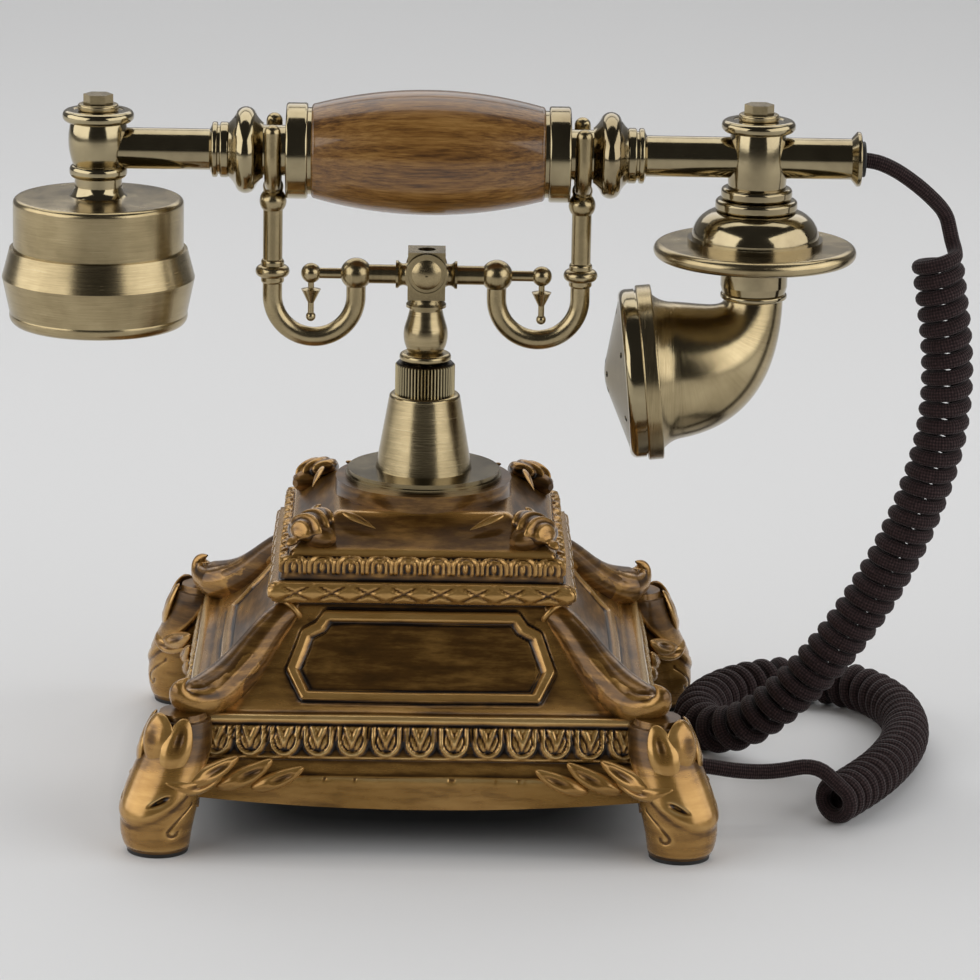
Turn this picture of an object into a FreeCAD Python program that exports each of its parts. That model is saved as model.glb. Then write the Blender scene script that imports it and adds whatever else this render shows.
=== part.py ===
import FreeCAD, Part
import bisect
import math
import os
from FreeCAD import Rotation, Vector

# Antique style table telephone, in millimetres. +Z is up, the origin is on the table under the
# stem of the cradle, +X points from the ear cup to the mouthpiece, and the dial looks along +Y.

UP = Vector(0, 0, 1)
RIGHT = Vector(1, 0, 0)
DEEP = Vector(0, 1, 0)
ORIGIN = Vector(0, 0, 0)

# Clearances
BODY_GAP = 0.3
FIT = 0.05
PLAY = 0.3

# Base casting, as half widths of its square sections and heights above the table
APRON_LOW = 12.0
APRON_END_LOW = 15.0
APRON_HALF = 72.3
STEP_Z = 20.9
STEP_HALF = 71.0
STEP_DEPTH = 0.9
EGG_LOW = 26.0
EGG_HALF = 69.3
LEDGE_Z = 34.6
LEDGE_HALF = 67.1
LEDGE_TOP = 37.3
LEDGE_TOP_HALF = 66.3
FLARE_HALF = 62.5
FLARE_TOP_HALF = 39.6
NECK_Z = 64.2
FLARE_SAG = 2.5
BEAD_HALF = 43.3
BEAD_LOW = 65.2
BEAD_TOP = 70.6
ARCH_HALF = 40.7
ARCH_TOP = 77.0
EAVE_HALF = 38.4
EAVE_TOP = 78.7
ROOF_HALF = 25.0
ROOF_TOP = 87.5
SHELL_WALL = 5.2
ROOF_WALL = 5.0

# Round boss on the roof, and the turned stack on it
BOSS_RADIUS = 26.0
BOSS_TOP = 92.3
BOSS_FLARE = 1.8
BOSS_FLARE_Z = 87.3
DISC_RADIUS = 23.1
DISC_THICK = 2.6
DISC_STEP = 1.2
DISC_STEP_IN = 0.7
CONE_RADIUS = 14.2
CONE_TOP_RADIUS = 10.5
CONE_HEIGHT = 22.6
CONE_WALL = 1.6
CONE_CROWN = 3.0
CONE_SHOULDER = 1.2
KNURL_RADIUS = 8.8
KNURL_HEIGHT = 9.4
KNURL_TEETH = 52
KNURL_DEPTH = 0.55
KNURL_CROWN = 2.1
KNURL_BEVEL = 0.8

# Feet
FOOT_HALF = 74.6
FOOT_RADIUS = 9.0
KNEE_HALF = 73.6
KNEE_RADIUS = 10.6
KNEE_Z = 15.0
SHOULDER_HALF = 69.6
SHOULDER_RADIUS = 9.2
SHOULDER_Z = 28.0
LEAF_HALF = 67.8
LEAF_RADIUS = 6.6
LEAF_Z = 39.4
PAD_THICK = 1.2
PAD_RADIUS = 8.7

# Corner scroll ribs as (distance from the stem along each side, height, radius), and the leaves on the roof
RIB = [(39.0, 60.5, 4.2), (45.0, 55.6, 5.0), (50.5, 49.0, 6.0), (57.5, 43.6, 6.4), (63.4, 42.6, 5.1)]
ROOF_LEAF_HALF = 32.2
ROOF_LEAF_Z = 82.6
ROOF_LEAF_REACH = 9.0
ROOF_LEAF_RADIUS = 4.4
ROOF_LEAF_SWELL = ((-1.0, 0.25), (-0.55, 0.84), (0.0, 1.0), (0.55, 0.84), (1.0, 0.25))

# Dial on the sloping front
DIAL_TILT = 45.0
DIAL_Y = 54.6
DIAL_Z = 52.4
HOUSING_RIM = 2.5
HOUSING_DEPTH = 38.0
CASE_RADIUS = 27.0
CASE_DEPTH = 19.0
CASE_WALL = 1.5
BEARING_WALL = 2.0
PLATE_LIP = 4.5
PLATE_THICK = 1.2
PLATE_RECESS = 1.6
DIAL_SCREW_OUT = 2.3
DIAL_SCREW_ANGLES = (30, 150, 270)
WHEEL_INSET = 1.0
WHEEL_THICK = 1.8
WHEEL_RISE = 2.8
WHEEL_RIM = 1.0
HOLE_RING = 22.6
HOLE_RADIUS = 4.9
HOLE_COUNT = 10
HOLE_STEP_DEG = 28.5
FIRST_HOLE_DEG = 236.5
STOP_DEG = 160.0
STOP_WIDTH = 4.0
STOP_THICK = 0.8
STOP_REACH = 21.0
STOP_GAP = 0.5
SHAFT_RADIUS = 2.5
CAP_RADIUS = 13.5
CAP_HEIGHT = 1.8

# Guide of the cradle stem
STEM_RADIUS = 4.0
CRADLE_TRAVEL = 5.0
BUSH_RADIUS = 6.0
BUSH_LOW = 68.0
NUT_FLATS = 16.0
NUT_HEIGHT = 4.0
STEM_END = 57.5
CLIP_RADIUS = 9.2
CLIP_THICK = 2.0
CLIP_GROOVE = 0.8

# Stem of the cradle above the guide, as radii and heights
STEM_RING_RADIUS = 7.6
STEM_RING_HEIGHT = 2.5
STEM_WAIST_RADIUS = 4.9
BELLY_RADIUS = 6.5
BELLY_Z = 134.8
STEM_SHOULDER_RADIUS = 5.95
STEM_SHOULDER_Z = 138.4
STEM_NECK_RADIUS = 4.85
STEM_NECK_Z = 142.6
STEM_TOP_RADIUS = 5.9
STEM_TOP_LOW = 143.5
STEM_TOP_RIM = 0.8
STEM_COLLAR_RADIUS = 5.0
STEM_PEG_RADIUS = 3.0
STEM_PEG = 6.0

# Switch under the stem
SPRING_WIRE = 1.2
SPRING_RADIUS = 6.0
SPRING_TURNS = 5
BRACKET_FLOOR = 44.0
BRACKET_THICK = 1.6
BRACKET_HALF = 15.0
BRACKET_WIDTH = 18.0
BRACKET_EAR = 9.0
SWITCH_WIDTH = 6.0
SWITCH_LENGTH = 13.0
SWITCH_HEIGHT = 12.8
BUTTON_RADIUS = 0.7
SCREW_RADIUS = 1.5
SCREW_HEAD_RADIUS = 3.0
SCREW_HEAD = 1.8
SCREW_LENGTH = 3.6

# Cross piece of the cradle
BLOCK_HALF = 5.5
BLOCK_LOW = 146.4
BLOCK_HEIGHT = 14.2
BLOCK_HOLE_RADIUS = 2.6
BLOCK_HOLE_DEPTH = 5.0
ARM_Z = 153.0
BOSS_DISC_RADIUS = 6.1
BOSS_DISC_OUT = 1.4
BOSS_DISC_RISE = 1.2
BOSS_RIM = 0.7
BOSS_DISH = 0.5
BOSS_DOME_RADIUS = 4.4
BOSS_DOME_OUT = 1.3
ARM_RADIUS = 2.8
COLLAR_RADIUS = 4.1
COLLAR_ROOT_RADIUS = 3.7
COLLAR_WAIST_RADIUS = 3.2
COLLAR_WAIST = 1.3
COLLAR_WIDTH = 3.5
COLLAR_RIM = 0.7
BALL_RADIUS = 4.7
BALL_X = 20.6
ROD_RADIUS = 1.56
END_BALL_RADIUS = 2.95
END_BALL_X = 33.8
DROP_RADIUS = 2.9
DROP_NECK_RADIUS = 0.9
DROP_NECK = 1.4
DROP_CONE = 4.5
DROP_BEVEL = 0.5
DROP_ROD = 2.7
DROP_BALL_RADIUS = 1.45

# Hooks that carry the handset
HOOK_RADIUS = 2.86
HOOK_PEG_Z = 151.0
HOOK_TURN_Z = 146.2
FORK_OUT = 3.7
BEAD_RADIUS = 5.0
BEAD_WIDTH = 3.6
BEAD_Z = 153.5
BEAD_RING_RADIUS = 3.4
BEAD_RING_WIDTH = 7.4
SWELL_RADIUS = 3.95
SWELL_Z = 174.4
FORK_BALL_RADIUS = 3.0
PRONG_RADIUS = 2.4
PRONG_SPREAD = 10.2
PRONG_TIP_Z = 198.6

# Handset, turned about an axis at this height
HANDSET_Z = 189.3
GRIP_HALF = 34.0
GRIP_RADIUS = 18.2
GRIP_END_RADIUS = 13.9
GRIP_EDGE = 1.2
COLLAR_GROOVE = 1.0
COLLAR_GROOVE_RADIUS = 12.7
COLLAR_LENGTH = 6.4
GRIP_COLLAR_RADIUS = 14.0
GRIP_COLLAR_EDGE = 0.8
NECK_RADIUS = 7.4
NECK_LENGTH = 6.6
KNOB_ROOT_RADIUS = 8.0
KNOB_CREST_RADIUS = 11.3
KNOB_RADIUS = 12.65
KNOB_CREST_OUT = 5.1
KNOB_CREST_HALF = 2.6
KNOB_SAG = 0.25
KNOB_LENGTH = 10.0
RING_RADIUS = 8.1
RING_WIDTH = 2.6
RING_EDGE = 0.6
RING_GROOVE = 0.6
RING_GROOVE_RADIUS = 7.2
LAST_RING_WIDTH = 1.7
LAST_RING_FOOT = 0.7
TUBE_RADIUS = 6.0
TIE_RADIUS = 4.0
TIE_WALL = 1.8
TIE_OVER = 8.4

# Pivot columns across the ends of the handset
COLUMN_X = 96.0
FLANGE_RISE = 11.2
FLANGE_RADIUS = 10.4
FLANGE_THICK = 3.5
FLANGE_DISH_RADIUS = 7.6
FLANGE_DISH = 0.3
BARREL_TOP_RADIUS = 8.0
BARREL_RADIUS = 8.7
BARREL_RISE = 1.7
EAR_BEAD_HEIGHT = 3.8
EAR_BARREL_LOW_RADIUS = 7.4
EAR_BEAD_RADIUS = 8.4
EAR_BEAD_RISE = 5.4
EAR_WAIST_RADIUS = 6.9
EAR_WAIST_RISE = 2.8
COLUMN_FOOT_RADIUS = 8.4
COLUMN_TUBE_PAST = 4.0
BOLT_RADIUS = 2.0
BOLT_FLATS = 7.5
BOLT_HEAD = 2.8
WASHER_RADIUS = 5.9
WASHER_THICK = 2.1
WASHER_EDGE = 0.6
SPIGOT_RADIUS = 4.0
SPIGOT_BORE = 2.0
SPIGOT_LENGTH = 6.0

# Ear cup
EAR_DROP = 14.1
EAR_CROWN = 0.6
EAR_SHOULDER = 1.6
EAR_RADIUS = 24.9
EAR_WALL = 1.6
EAR_CUP_HEIGHT = 19.2
EAR_RING_LAP = 3.6
EAR_RING_RADIUS = 26.0
EAR_RIM_RADIUS = 28.2
EAR_RIM_DROP = 4.8
EAR_LOW_DROP = 15.4
EAR_FOOT_DROP = 18.8
EAR_FOOT_RADIUS = 24.2
EAR_PLATE = 2.0
EARPHONE_RADIUS = 19.0
EARPHONE_HEIGHT = 8.0
MAGNET_RADIUS = 10.0
MAGNET_HEIGHT = 4.0
SOUND_HOLE_RADIUS = 1.5
SOUND_HOLES = 8
SOUND_RING = 10.0

# Mouthpiece column, dome, guard and neck
MOUTH_FLANGE_RADIUS = 10.8
MOUTH_BARREL_RADIUS = 8.6
MOUTH_BARREL_DROP = 8.7
MOUTH_BARREL_LOW_RADIUS = 8.4
UPPER_RING_RADIUS = 10.4
LOWER_RING_RADIUS = 12.0
MOUTH_RING_HEIGHT = 3.5
MOUTH_RING_EDGE = 1.1
DOME_TOP_RADIUS = 12.2
DOME_RADIUS = 18.6
DOME_HEIGHT = 7.4
DOME_RING_RADIUS = 19.8
DOME_RING_HEIGHT = 1.6
DOME_WALL = 1.8
DOME_BULGE = 1.6
GUARD_DROP = 2.4
GUARD_RADIUS = 29.7
GUARD_THICK = 4.9
GUARD_EDGE = 2.6
GUARD_RIM = 4.4
TRUNK_RADIUS = 6.0
TRUNK_BORE = 4.4
TRUNK_RISE = 6.0
NECK_COLLAR_RADIUS = 9.8
NECK_WAIST_RADIUS = 9.3
NECK_LIP = 2.0
NECK_DROP = 11.5
HORN_WALL = 1.5
# Control circles of the horn, each from its outer to its inner point: distance from the column, and
# height over the top of the horn
HORN = [((-8.6, 0), (8.6, 0)), ((-8.5, -19.4), (8.7, -3.5)), ((-2.0, -36.9), (14.0, -2.2)),
        ((19.4, -41.8), (23.4, -1.8))]

# Mouthpiece, as distances along its axis from the end of the horn
BELL_LENGTH = 6.3
BELL_RADIUS = 23.0
BELL_SAG = 0.7
MOUTH_RING_RADIUS = 25.8
MOUTH_RING_LENGTH = 4.6
MOUTH_RING_EASE = 0.5
MOUTH_WEB = 1.7
MOUTH_WALL = 3.3
BEZEL_RADIUS = 24.9
BEZEL_LENGTH = 5.2
BEZEL_GROOVE = 0.5
BEZEL_EDGE = 2.2
BEZEL_SHELF = 1.4
GRILLE_RADIUS = 21.6
GRILLE_SEAT = 2.1
GRILLE_RISE = 5.75
GRILLE_NOSE_RADIUS = 5.0
GRILLE_NOSE_HEIGHT = 0.75
GRILLE_THICK = 1.3
GRILLE_HOLE_RADIUS = 0.9
GRILLE_RING_RADII = (19.0, 4.6)
GRILLE_RING_HOLES = (6, 5)
MICROPHONE_RADIUS = 14.0
MICROPHONE_LENGTH = 6.0

# End of the mouthpiece tube
TUBE_END = 123.2
END_FLANGE_RADIUS = 8.0
END_FLANGE_CONE = 1.7
END_FLANGE_RIM = 1.2
END_PLUG = 6.0
CORD_BUSH_RADIUS = 5.2
CORD_BUSH_RIM = 1.3
CORD_BUSH_SPIGOT = 3.2
CORD_SEAT = 5.5
CORD_SEAT_WALL = 0.8
CORD_MOUTH = 1.8
CORD_MOUTH_RADIUS = 2.9

# Bottom plate and what stands on it
PLATE_Z = 14.5
BOTTOM_THICK = 1.8
BOTTOM_HALF = 64.5
BOTTOM_LEDGE = 2.4
POST_HALF = 51.5
POST_RADIUS = 4.5
BOARD_X = -43.0
BOARD_Y = 6.0
BOARD_WIDTH = 24.0
BOARD_LENGTH = 56.0
BOARD_THICK = 1.6
BOARD_INSET = 3.0
STANDOFF_RADIUS = 2.2
PART_SIZES = ((8.0, 12.0, 5.0, 12.0), (10.0, 10.0, 3.0, -2.0), (6.0, 6.0, 8.0, -16.0))
GONG_Y = -38.0
GONG_RADIUS = 15.5
GONG_HEIGHT = 8.0
GONG_Z = 24.0
GONG_WALL = 1.2
GONG_POST_RADIUS = 3.0
FRAME_THICK = 1.6
FRAME_HALF = 26.0
FRAME_FRONT = -48.0
FRAME_BACK = 16.0
CLAPPER_Y = -12.0
CLAPPER_Z = 28.0
CLAPPER_SWING_DEG = 3.5
CLAPPER_BALL = 2.6
CLAPPER_ARM_RADIUS = 0.9
CLAPPER_TUBE_RADIUS = 2.6
CLAPPER_TUBE_HEIGHT = 4.0
ARMATURE_LENGTH = 18.0
ARMATURE_THICK = 1.6
ARMATURE_HEIGHT = 4.0
PIN_RADIUS = 1.2
PIN_HEAD_RADIUS = 1.9
COIL_X = 7.5
COIL_RADIUS = 5.5
COIL_LENGTH = 14.0
CORE_RADIUS = 2.0
CORE_OUT = 1.0
YOKE_THICK = 2.0

# Jack for the wall cord in the floor, and the gland of the handset cord in the right wall
JACK_WIDTH = 14.0
JACK_HEIGHT = 12.0
JACK_Y = 12.0
SOCKET_WIDTH = 10.0
SOCKET_LENGTH = 7.2
SOCKET_DEPTH = 9.0
GLAND_Y = -47.0
GLAND_FLANGE_RADIUS = 3.6
GLAND_FLANGE = 3.0
GLAND_RADIUS = 2.9
GLAND_DEPTH = 4.6
GLAND_SEAT = 69.4
GLAND_LIFT = 0.4

# Curly handset cord
CORD_DIA = 4.2
CURL_GAP = 0.5
CURL_SLOPE = 0.985
HANG_RADIUS = 5.5
TABLE_RADIUS = 5.0
HANG_LENGTH = 120.0
LANDING = 60.0
STATION = 0.5
SMOOTHING = 8.0
BEND_SHARE = 0.45
FIRST_CURL_DEG = 28.0
FIRST_CURL_BEND = 6.5
FIRST_CURL_STEPS = 4
LAST_CURL_DEG = 60.0
# Centre line of the curls, from below the handset to their end on the table
CURL_ROUTE = [(149.2, 0, 160.8), (150.9, 0, 151), (153.2, 0, 137), (154.2, 0, 122), (152.9, 0, 106),
              (148.9, 1, 90), (142.6, 2, 72.5), (132.8, 4, 53), (121.5, 6, 36), (109, 9, 21.5),
              (98, 14, 11.5), (88.5, 22.5, 7.5), (84.6, 36.5, 7.5), (87.6, 51.5, 7.5), (95.6, 66, 7.5),
              (108, 77, 7.5), (123, 80, 7.5), (137, 72.5, 7.5), (146, 57, 7.5), (149.4, 37, 7.5),
              (147.6, 15, 7.5), (140.5, -8, 7.5), (131, -28.5, 7.5), (121, -45, 7.5)]
# Straight ends of the cord: below and beside its seat in the handset, and from the table up to the gland
UPPER_TAIL = [(7.1, 0, 0), (14.1, 0, -3.2), (20.7, 0.3, -8.0), (26.7, 0.9, -14.1)]
LOWER_TAIL = [(104, -43.3, 15.6), (93, -45.2, 16.2)]
FIRST_TAIL_RUN = 7.6
SECOND_TAIL_RUN = 10.0
LAST_RUN = 8.6

# Worked out from the sizes above
DISC_TOP = BOSS_TOP + DISC_THICK
CONE_TOP = DISC_TOP + CONE_HEIGHT
KNURL_TOP = CONE_TOP + KNURL_HEIGHT
PLATE_RADIUS = CASE_RADIUS + PLATE_LIP
WHEEL_RADIUS = PLATE_RADIUS - WHEEL_INSET
HOUSING_RADIUS = PLATE_RADIUS + HOUSING_RIM
COLLAR_OUT = GRIP_HALF + COLLAR_GROOVE + COLLAR_LENGTH
HOOK_X = COLLAR_OUT + FORK_OUT
KNOB_START = COLLAR_OUT + NECK_LENGTH
KNOB_X = KNOB_START + KNOB_CREST_OUT
KNOB_END = KNOB_START + KNOB_LENGTH
RING_END = KNOB_END + RING_WIDTH + RING_GROOVE + LAST_RING_WIDTH + LAST_RING_FOOT
TIE_END = RING_END + TIE_OVER
STEM_RING_LOW = KNURL_TOP + BODY_GAP
BUSH_TOP = KNURL_TOP - KNURL_CROWN
BUSH_BORE = BUSH_RADIUS + FIT
ROOF_UNDER = EAVE_TOP - ROOF_WALL
CLIP_TOP = BUSH_LOW - CRADLE_TRAVEL - BODY_GAP
CLIP_LOW = CLIP_TOP - CLIP_THICK
BRACKET_TOP = BRACKET_FLOOR + BRACKET_THICK
FLOOR_TOP = PLATE_Z + BOTTOM_THICK
TIE_BORE = TIE_RADIUS + FIT
TUBE_HOLE = TUBE_RADIUS + FIT
FORK_BALL_Z = HANDSET_Z - NECK_RADIUS - BODY_GAP - FORK_BALL_RADIUS
FLANGE_TOP = HANDSET_Z + FLANGE_RISE
BARREL_Z = HANDSET_Z + BARREL_RISE
EAR_TOP = HANDSET_Z - EAR_DROP
EAR_WAIST_Z = EAR_TOP + EAR_WAIST_RISE
EAR_BEAD_LOW = EAR_TOP + EAR_BEAD_RISE
EAR_BARREL_LOW = EAR_BEAD_LOW + EAR_BEAD_HEIGHT
EAR_SEAT = EAR_TOP - EAR_CUP_HEIGHT
EAR_RING_TOP = EAR_SEAT + EAR_RING_LAP
EAR_RIM_Z = EAR_SEAT - EAR_RIM_DROP
EAR_LOW_Z = EAR_SEAT - EAR_LOW_DROP
EAR_FOOT = EAR_SEAT - EAR_FOOT_DROP
MOUTH_BARREL_LOW = HANDSET_Z - MOUTH_BARREL_DROP
DOME_TOP = MOUTH_BARREL_LOW - 2 * MOUTH_RING_HEIGHT
DOME_LOW = DOME_TOP - DOME_HEIGHT
GUARD_TOP = DOME_LOW - GUARD_DROP
GUARD_LOW = GUARD_TOP - GUARD_THICK
TRUNK_TOP = DOME_TOP + TRUNK_RISE
HORN_TOP = GUARD_LOW - NECK_DROP
RING_AT = BELL_LENGTH
BEZEL_AT = RING_AT + MOUTH_RING_LENGTH
FRONT_AT = BEZEL_AT + BEZEL_LENGTH
PLATE_FACE = PLATE_THICK - PLATE_RECESS
WHEEL_LOW = PLATE_FACE + WHEEL_RISE
WHEEL_TOP = WHEEL_LOW + WHEEL_THICK
CORD_RADIUS = CORD_DIA / 2
CORD_FACE = TUBE_END + END_FLANGE_CONE + END_FLANGE_RIM + CORD_BUSH_RIM
CORD_START = CORD_FACE - CORD_SEAT
GLAND_Z = FLOOR_TOP + CORD_RADIUS + GLAND_LIFT
GLAND_FACE = GLAND_SEAT + GLAND_FLANGE
CLAPPER_REACH = CLAPPER_Y - GONG_Y
GONG_X = GONG_RADIUS + CLAPPER_BALL + CLAPPER_REACH * math.sin(math.radians(CLAPPER_SWING_DEG)) + BODY_GAP
BOARD_Z = PLATE_Z + JACK_HEIGHT


# Shape helpers

def vec(point):
    return Vector(*point)


def flat(point):
    """Point of an outline: across and up."""
    return Vector(point[0], 0, point[1])


def outline(steps):
    """Closed wire in the XZ plane. A step (x, z) is a line, and ((x, z), (x, z)) an arc through the first."""
    ends = [flat(step[1]) if isinstance(step[0], tuple) else flat(step) for step in steps]
    edges = []
    for k in range(1, len(steps)):
        if isinstance(steps[k][0], tuple):
            edges.append(Part.Arc(ends[k - 1], flat(steps[k][0]), ends[k]).toShape())
        elif (ends[k] - ends[k - 1]).Length > 1e-6:
            edges.append(Part.makeLine(ends[k - 1], ends[k]))
    if (ends[-1] - ends[0]).Length > 1e-6:
        edges.append(Part.makeLine(ends[-1], ends[0]))
    return Part.Wire(edges)


def placed(shape, at=ORIGIN, axis=UP):
    """Turn a shape made about +Z so that it points along axis, and move it to at."""
    out = shape.copy()
    out.Placement = FreeCAD.Placement(vec(at), Rotation(UP, vec(axis))).multiply(out.Placement)
    return out


def turned(steps, at=ORIGIN, axis=UP):
    """Solid of revolution from (radius, height) steps."""
    return placed(Part.Face(outline(steps)).revolve(ORIGIN, UP, 360), at, axis)


def rim(radius, low, high, edge):
    """Steps up the outside of a disc with rounded edges."""
    ease = edge * (1 - math.sqrt(0.5))
    return [(radius - edge, low), ((radius - ease, low + ease), (radius, low + edge)), (radius, high - edge),
            ((radius - ease, high - ease), (radius - edge, high))]


def sagged(start, end, sag):
    """Point half way between two, moved by sag square to their line and towards the axis."""
    span_x, span_z = end[0] - start[0], end[1] - start[1]
    side = sag / math.hypot(span_x, span_z) * (-1 if span_z > 0 else 1)
    return ((start[0] + end[0]) / 2 + side * span_z, (start[1] + end[1]) / 2 - side * span_x)


def cap(radius, rise, low):
    """Step of a round cap that rises from (radius, low) to the axis."""
    bend = (radius ** 2 + rise ** 2) / (2 * rise)
    fall = bend - math.sqrt(bend ** 2 - radius ** 2 / 4)
    return ((radius / 2, low + rise - fall), (0, low + rise))


def rod(radius, start, end):
    """Round bar between two points."""
    span = vec(end) - vec(start)
    return Part.makeCylinder(radius, span.Length, vec(start), span)


def ball(radius, at):
    return Part.makeSphere(radius, vec(at))


def block(size, centre):
    """Box of a given size about its centre."""
    return Part.makeBox(*size, vec(centre) - vec(size) * 0.5)


def hexagon(flats, height, at):
    """Hexagonal prism standing on a point."""
    corner = flats / math.sqrt(3)
    points = [Vector(corner, 0, 0)]
    for k in range(6):
        points.append(Rotation(UP, 60).multVec(points[-1]))
    points[-1] = points[0]
    return placed(Part.Face(Part.makePolygon(points)).extrude(UP * height), at)


def opposite(shape):
    """The same piece turned round to the other side of the stem."""
    out = shape.copy()
    out.rotate(ORIGIN, UP, 180)
    return out


def bent_rod(radius, start, along, centre, axis):
    """Half a turn of round bar about an axis, from a start where it points along."""
    section = Part.Face(Part.Wire(Part.Circle(vec(start), vec(along), radius).toShape()))
    return section.revolve(vec(centre), vec(axis), 180)


def fused(*shapes):
    return shapes[0].multiFuse(list(shapes[1:])).removeSplitter()


def cut_all(shape, cutters):
    for cutter in cutters:
        shape = shape.cut(cutter)
    return shape


def corners(half):
    return [(sx * half, sy * half) for sx in (-1, 1) for sy in (-1, 1)]


def around(radius, count, first=0.0, step=None):
    """Points on a circle about Z."""
    step = 360 / count if step is None else step
    angles = [math.radians(first + step * k) for k in range(count)]
    return [(radius * math.cos(a), radius * math.sin(a)) for a in angles]


def loft(sections):
    """Smooth solid through circles given as (centre, axis, radius)."""
    return Part.makeLoft([Part.Wire(Part.Circle(vec(c), vec(a), r).toShape()) for c, a, r in sections], True)


def save(name, *shapes):
    """Write one node; several shapes stay separate solids."""
    shape = shapes[0] if len(shapes) == 1 else Part.Compound(list(shapes))
    shape.exportStep("parts/" + name + ".step")
    print(name, len(shape.Solids), "valid" if shape.isValid() else "NOT VALID", round(shape.Volume, 1))


# Base casting

def both_sides(steps):
    """The outline of a right half and its mirror image."""
    back = []
    for k in range(len(steps) - 1, 0, -1):
        before = steps[k - 1][1] if isinstance(steps[k - 1][0], tuple) else steps[k - 1]
        end = (-before[0], before[1])
        if isinstance(steps[k][0], tuple):
            back.append(((-steps[k][0][0], steps[k][0][1]), end))
        else:
            back.append(end)
    return steps + back


def square_body(steps):
    """Body with square sections whose half width follows the steps (half width, height)."""
    reach = 2 * APRON_HALF
    along = Part.Face(outline(both_sides(steps))).extrude(DEEP * (2 * reach))
    along.translate(DEEP * -reach)
    across = along.copy()
    across.rotate(ORIGIN, UP, 90)
    return along.common(across)


def base_outside():
    foot_of_flare = (FLARE_HALF, LEDGE_TOP)
    top_of_flare = (FLARE_TOP_HALF, NECK_Z)
    hollow = sagged(foot_of_flare, top_of_flare, FLARE_SAG)
    lower = [(0, APRON_LOW), (APRON_HALF, APRON_LOW), (STEP_HALF, STEP_Z), (STEP_HALF - STEP_DEPTH, STEP_Z),
             (EGG_HALF - STEP_DEPTH, EGG_LOW), (EGG_HALF, EGG_LOW), (LEDGE_HALF, LEDGE_Z),
             (LEDGE_TOP_HALF, LEDGE_TOP), foot_of_flare, (hollow, top_of_flare)]
    upper = [(BEAD_HALF, BEAD_LOW), (BEAD_HALF, BEAD_TOP), (ARCH_HALF, BEAD_TOP), (ARCH_HALF, ARCH_TOP),
             (EAVE_HALF, ARCH_TOP), (EAVE_HALF, EAVE_TOP), (ROOF_HALF, ROOF_TOP), (0, ROOF_TOP)]
    return square_body(lower + upper)


def base_inside():
    """Hollow of the casting with a seat for the bottom plate."""
    half = BOTTOM_HALF + PLAY
    ledge = half - BOTTOM_LEDGE
    wall = FLARE_TOP_HALF - SHELL_WALL
    shoulder = (LEDGE_TOP_HALF - SHELL_WALL, LEDGE_TOP - SHELL_WALL)
    neck = (wall, NECK_Z - SHELL_WALL / 2)
    return square_body([(0, 0), (half, 0), (half, FLOOR_TOP), (ledge, FLOOR_TOP), shoulder,
                        (sagged(shoulder, neck, FLARE_SAG), neck), (wall, ROOF_UNDER), (0, ROOF_UNDER)])


def foot(sx, sy):
    """Leg: round at the table, bulging at the knee and drawn in up to its leaf."""
    levels = [(FOOT_HALF, PAD_THICK, FOOT_RADIUS), (KNEE_HALF, KNEE_Z, KNEE_RADIUS),
              (SHOULDER_HALF, SHOULDER_Z, SHOULDER_RADIUS), (LEAF_HALF, LEAF_Z, LEAF_RADIUS)]
    return loft([((sx * half, sy * half, z), (0, 0, 1), radius) for half, z, radius in levels])


def rib(sx, sy):
    """Scroll rib that runs down a corner of the flare to an upturned tip."""
    points = [Vector(sx * half, sy * half, z) for half, z, radius in RIB]
    ahead = [points[min(k + 1, len(RIB) - 1)] - points[max(k - 1, 0)] for k in range(len(RIB))]
    body = loft([(points[k], ahead[k], RIB[k][2]) for k in range(len(RIB))])
    return [body, ball(RIB[-1][2], points[-1])]


def roof_leaf(sx, sy):
    """Rounded ornament across a corner of the roof."""
    middle = Vector(sx * ROOF_LEAF_HALF, sy * ROOF_LEAF_HALF, ROOF_LEAF_Z)
    along = Vector(-sy, sx, 0)
    along.normalize()
    return loft([(middle + along * (ROOF_LEAF_REACH * part), along, ROOF_LEAF_RADIUS * swell)
                 for part, swell in ROOF_LEAF_SWELL])


def on_dial(shape):
    """Put a shape made about +Z, with the face of the dial housing at height 0, on the sloping front."""
    out = shape.copy()
    slope = FreeCAD.Placement(Vector(0, DIAL_Y, DIAL_Z), Rotation(RIGHT, DIAL_TILT - 90))
    out.Placement = slope.multiply(out.Placement)
    return out


def dial_hole(radius, depth, x=0.0, y=0.0):
    return on_dial(Part.makeCylinder(radius, depth, Vector(x, y, -depth)))


def apron_cutters():
    """What lies under the bowed lower edge of the apron, between the feet."""
    reach = KNEE_HALF - KNEE_RADIUS
    rise = APRON_END_LOW - APRON_LOW
    bow = (reach * reach + rise * rise) / (2 * rise)
    above = Part.makeCylinder(bow, 4 * reach, Vector(0, -2 * reach, APRON_LOW + bow), DEEP)
    first = block((2 * reach, 4 * reach, 2 * APRON_END_LOW), ORIGIN).cut(above)
    second = first.copy()
    second.rotate(ORIGIN, UP, 90)
    return [first, second]


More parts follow.
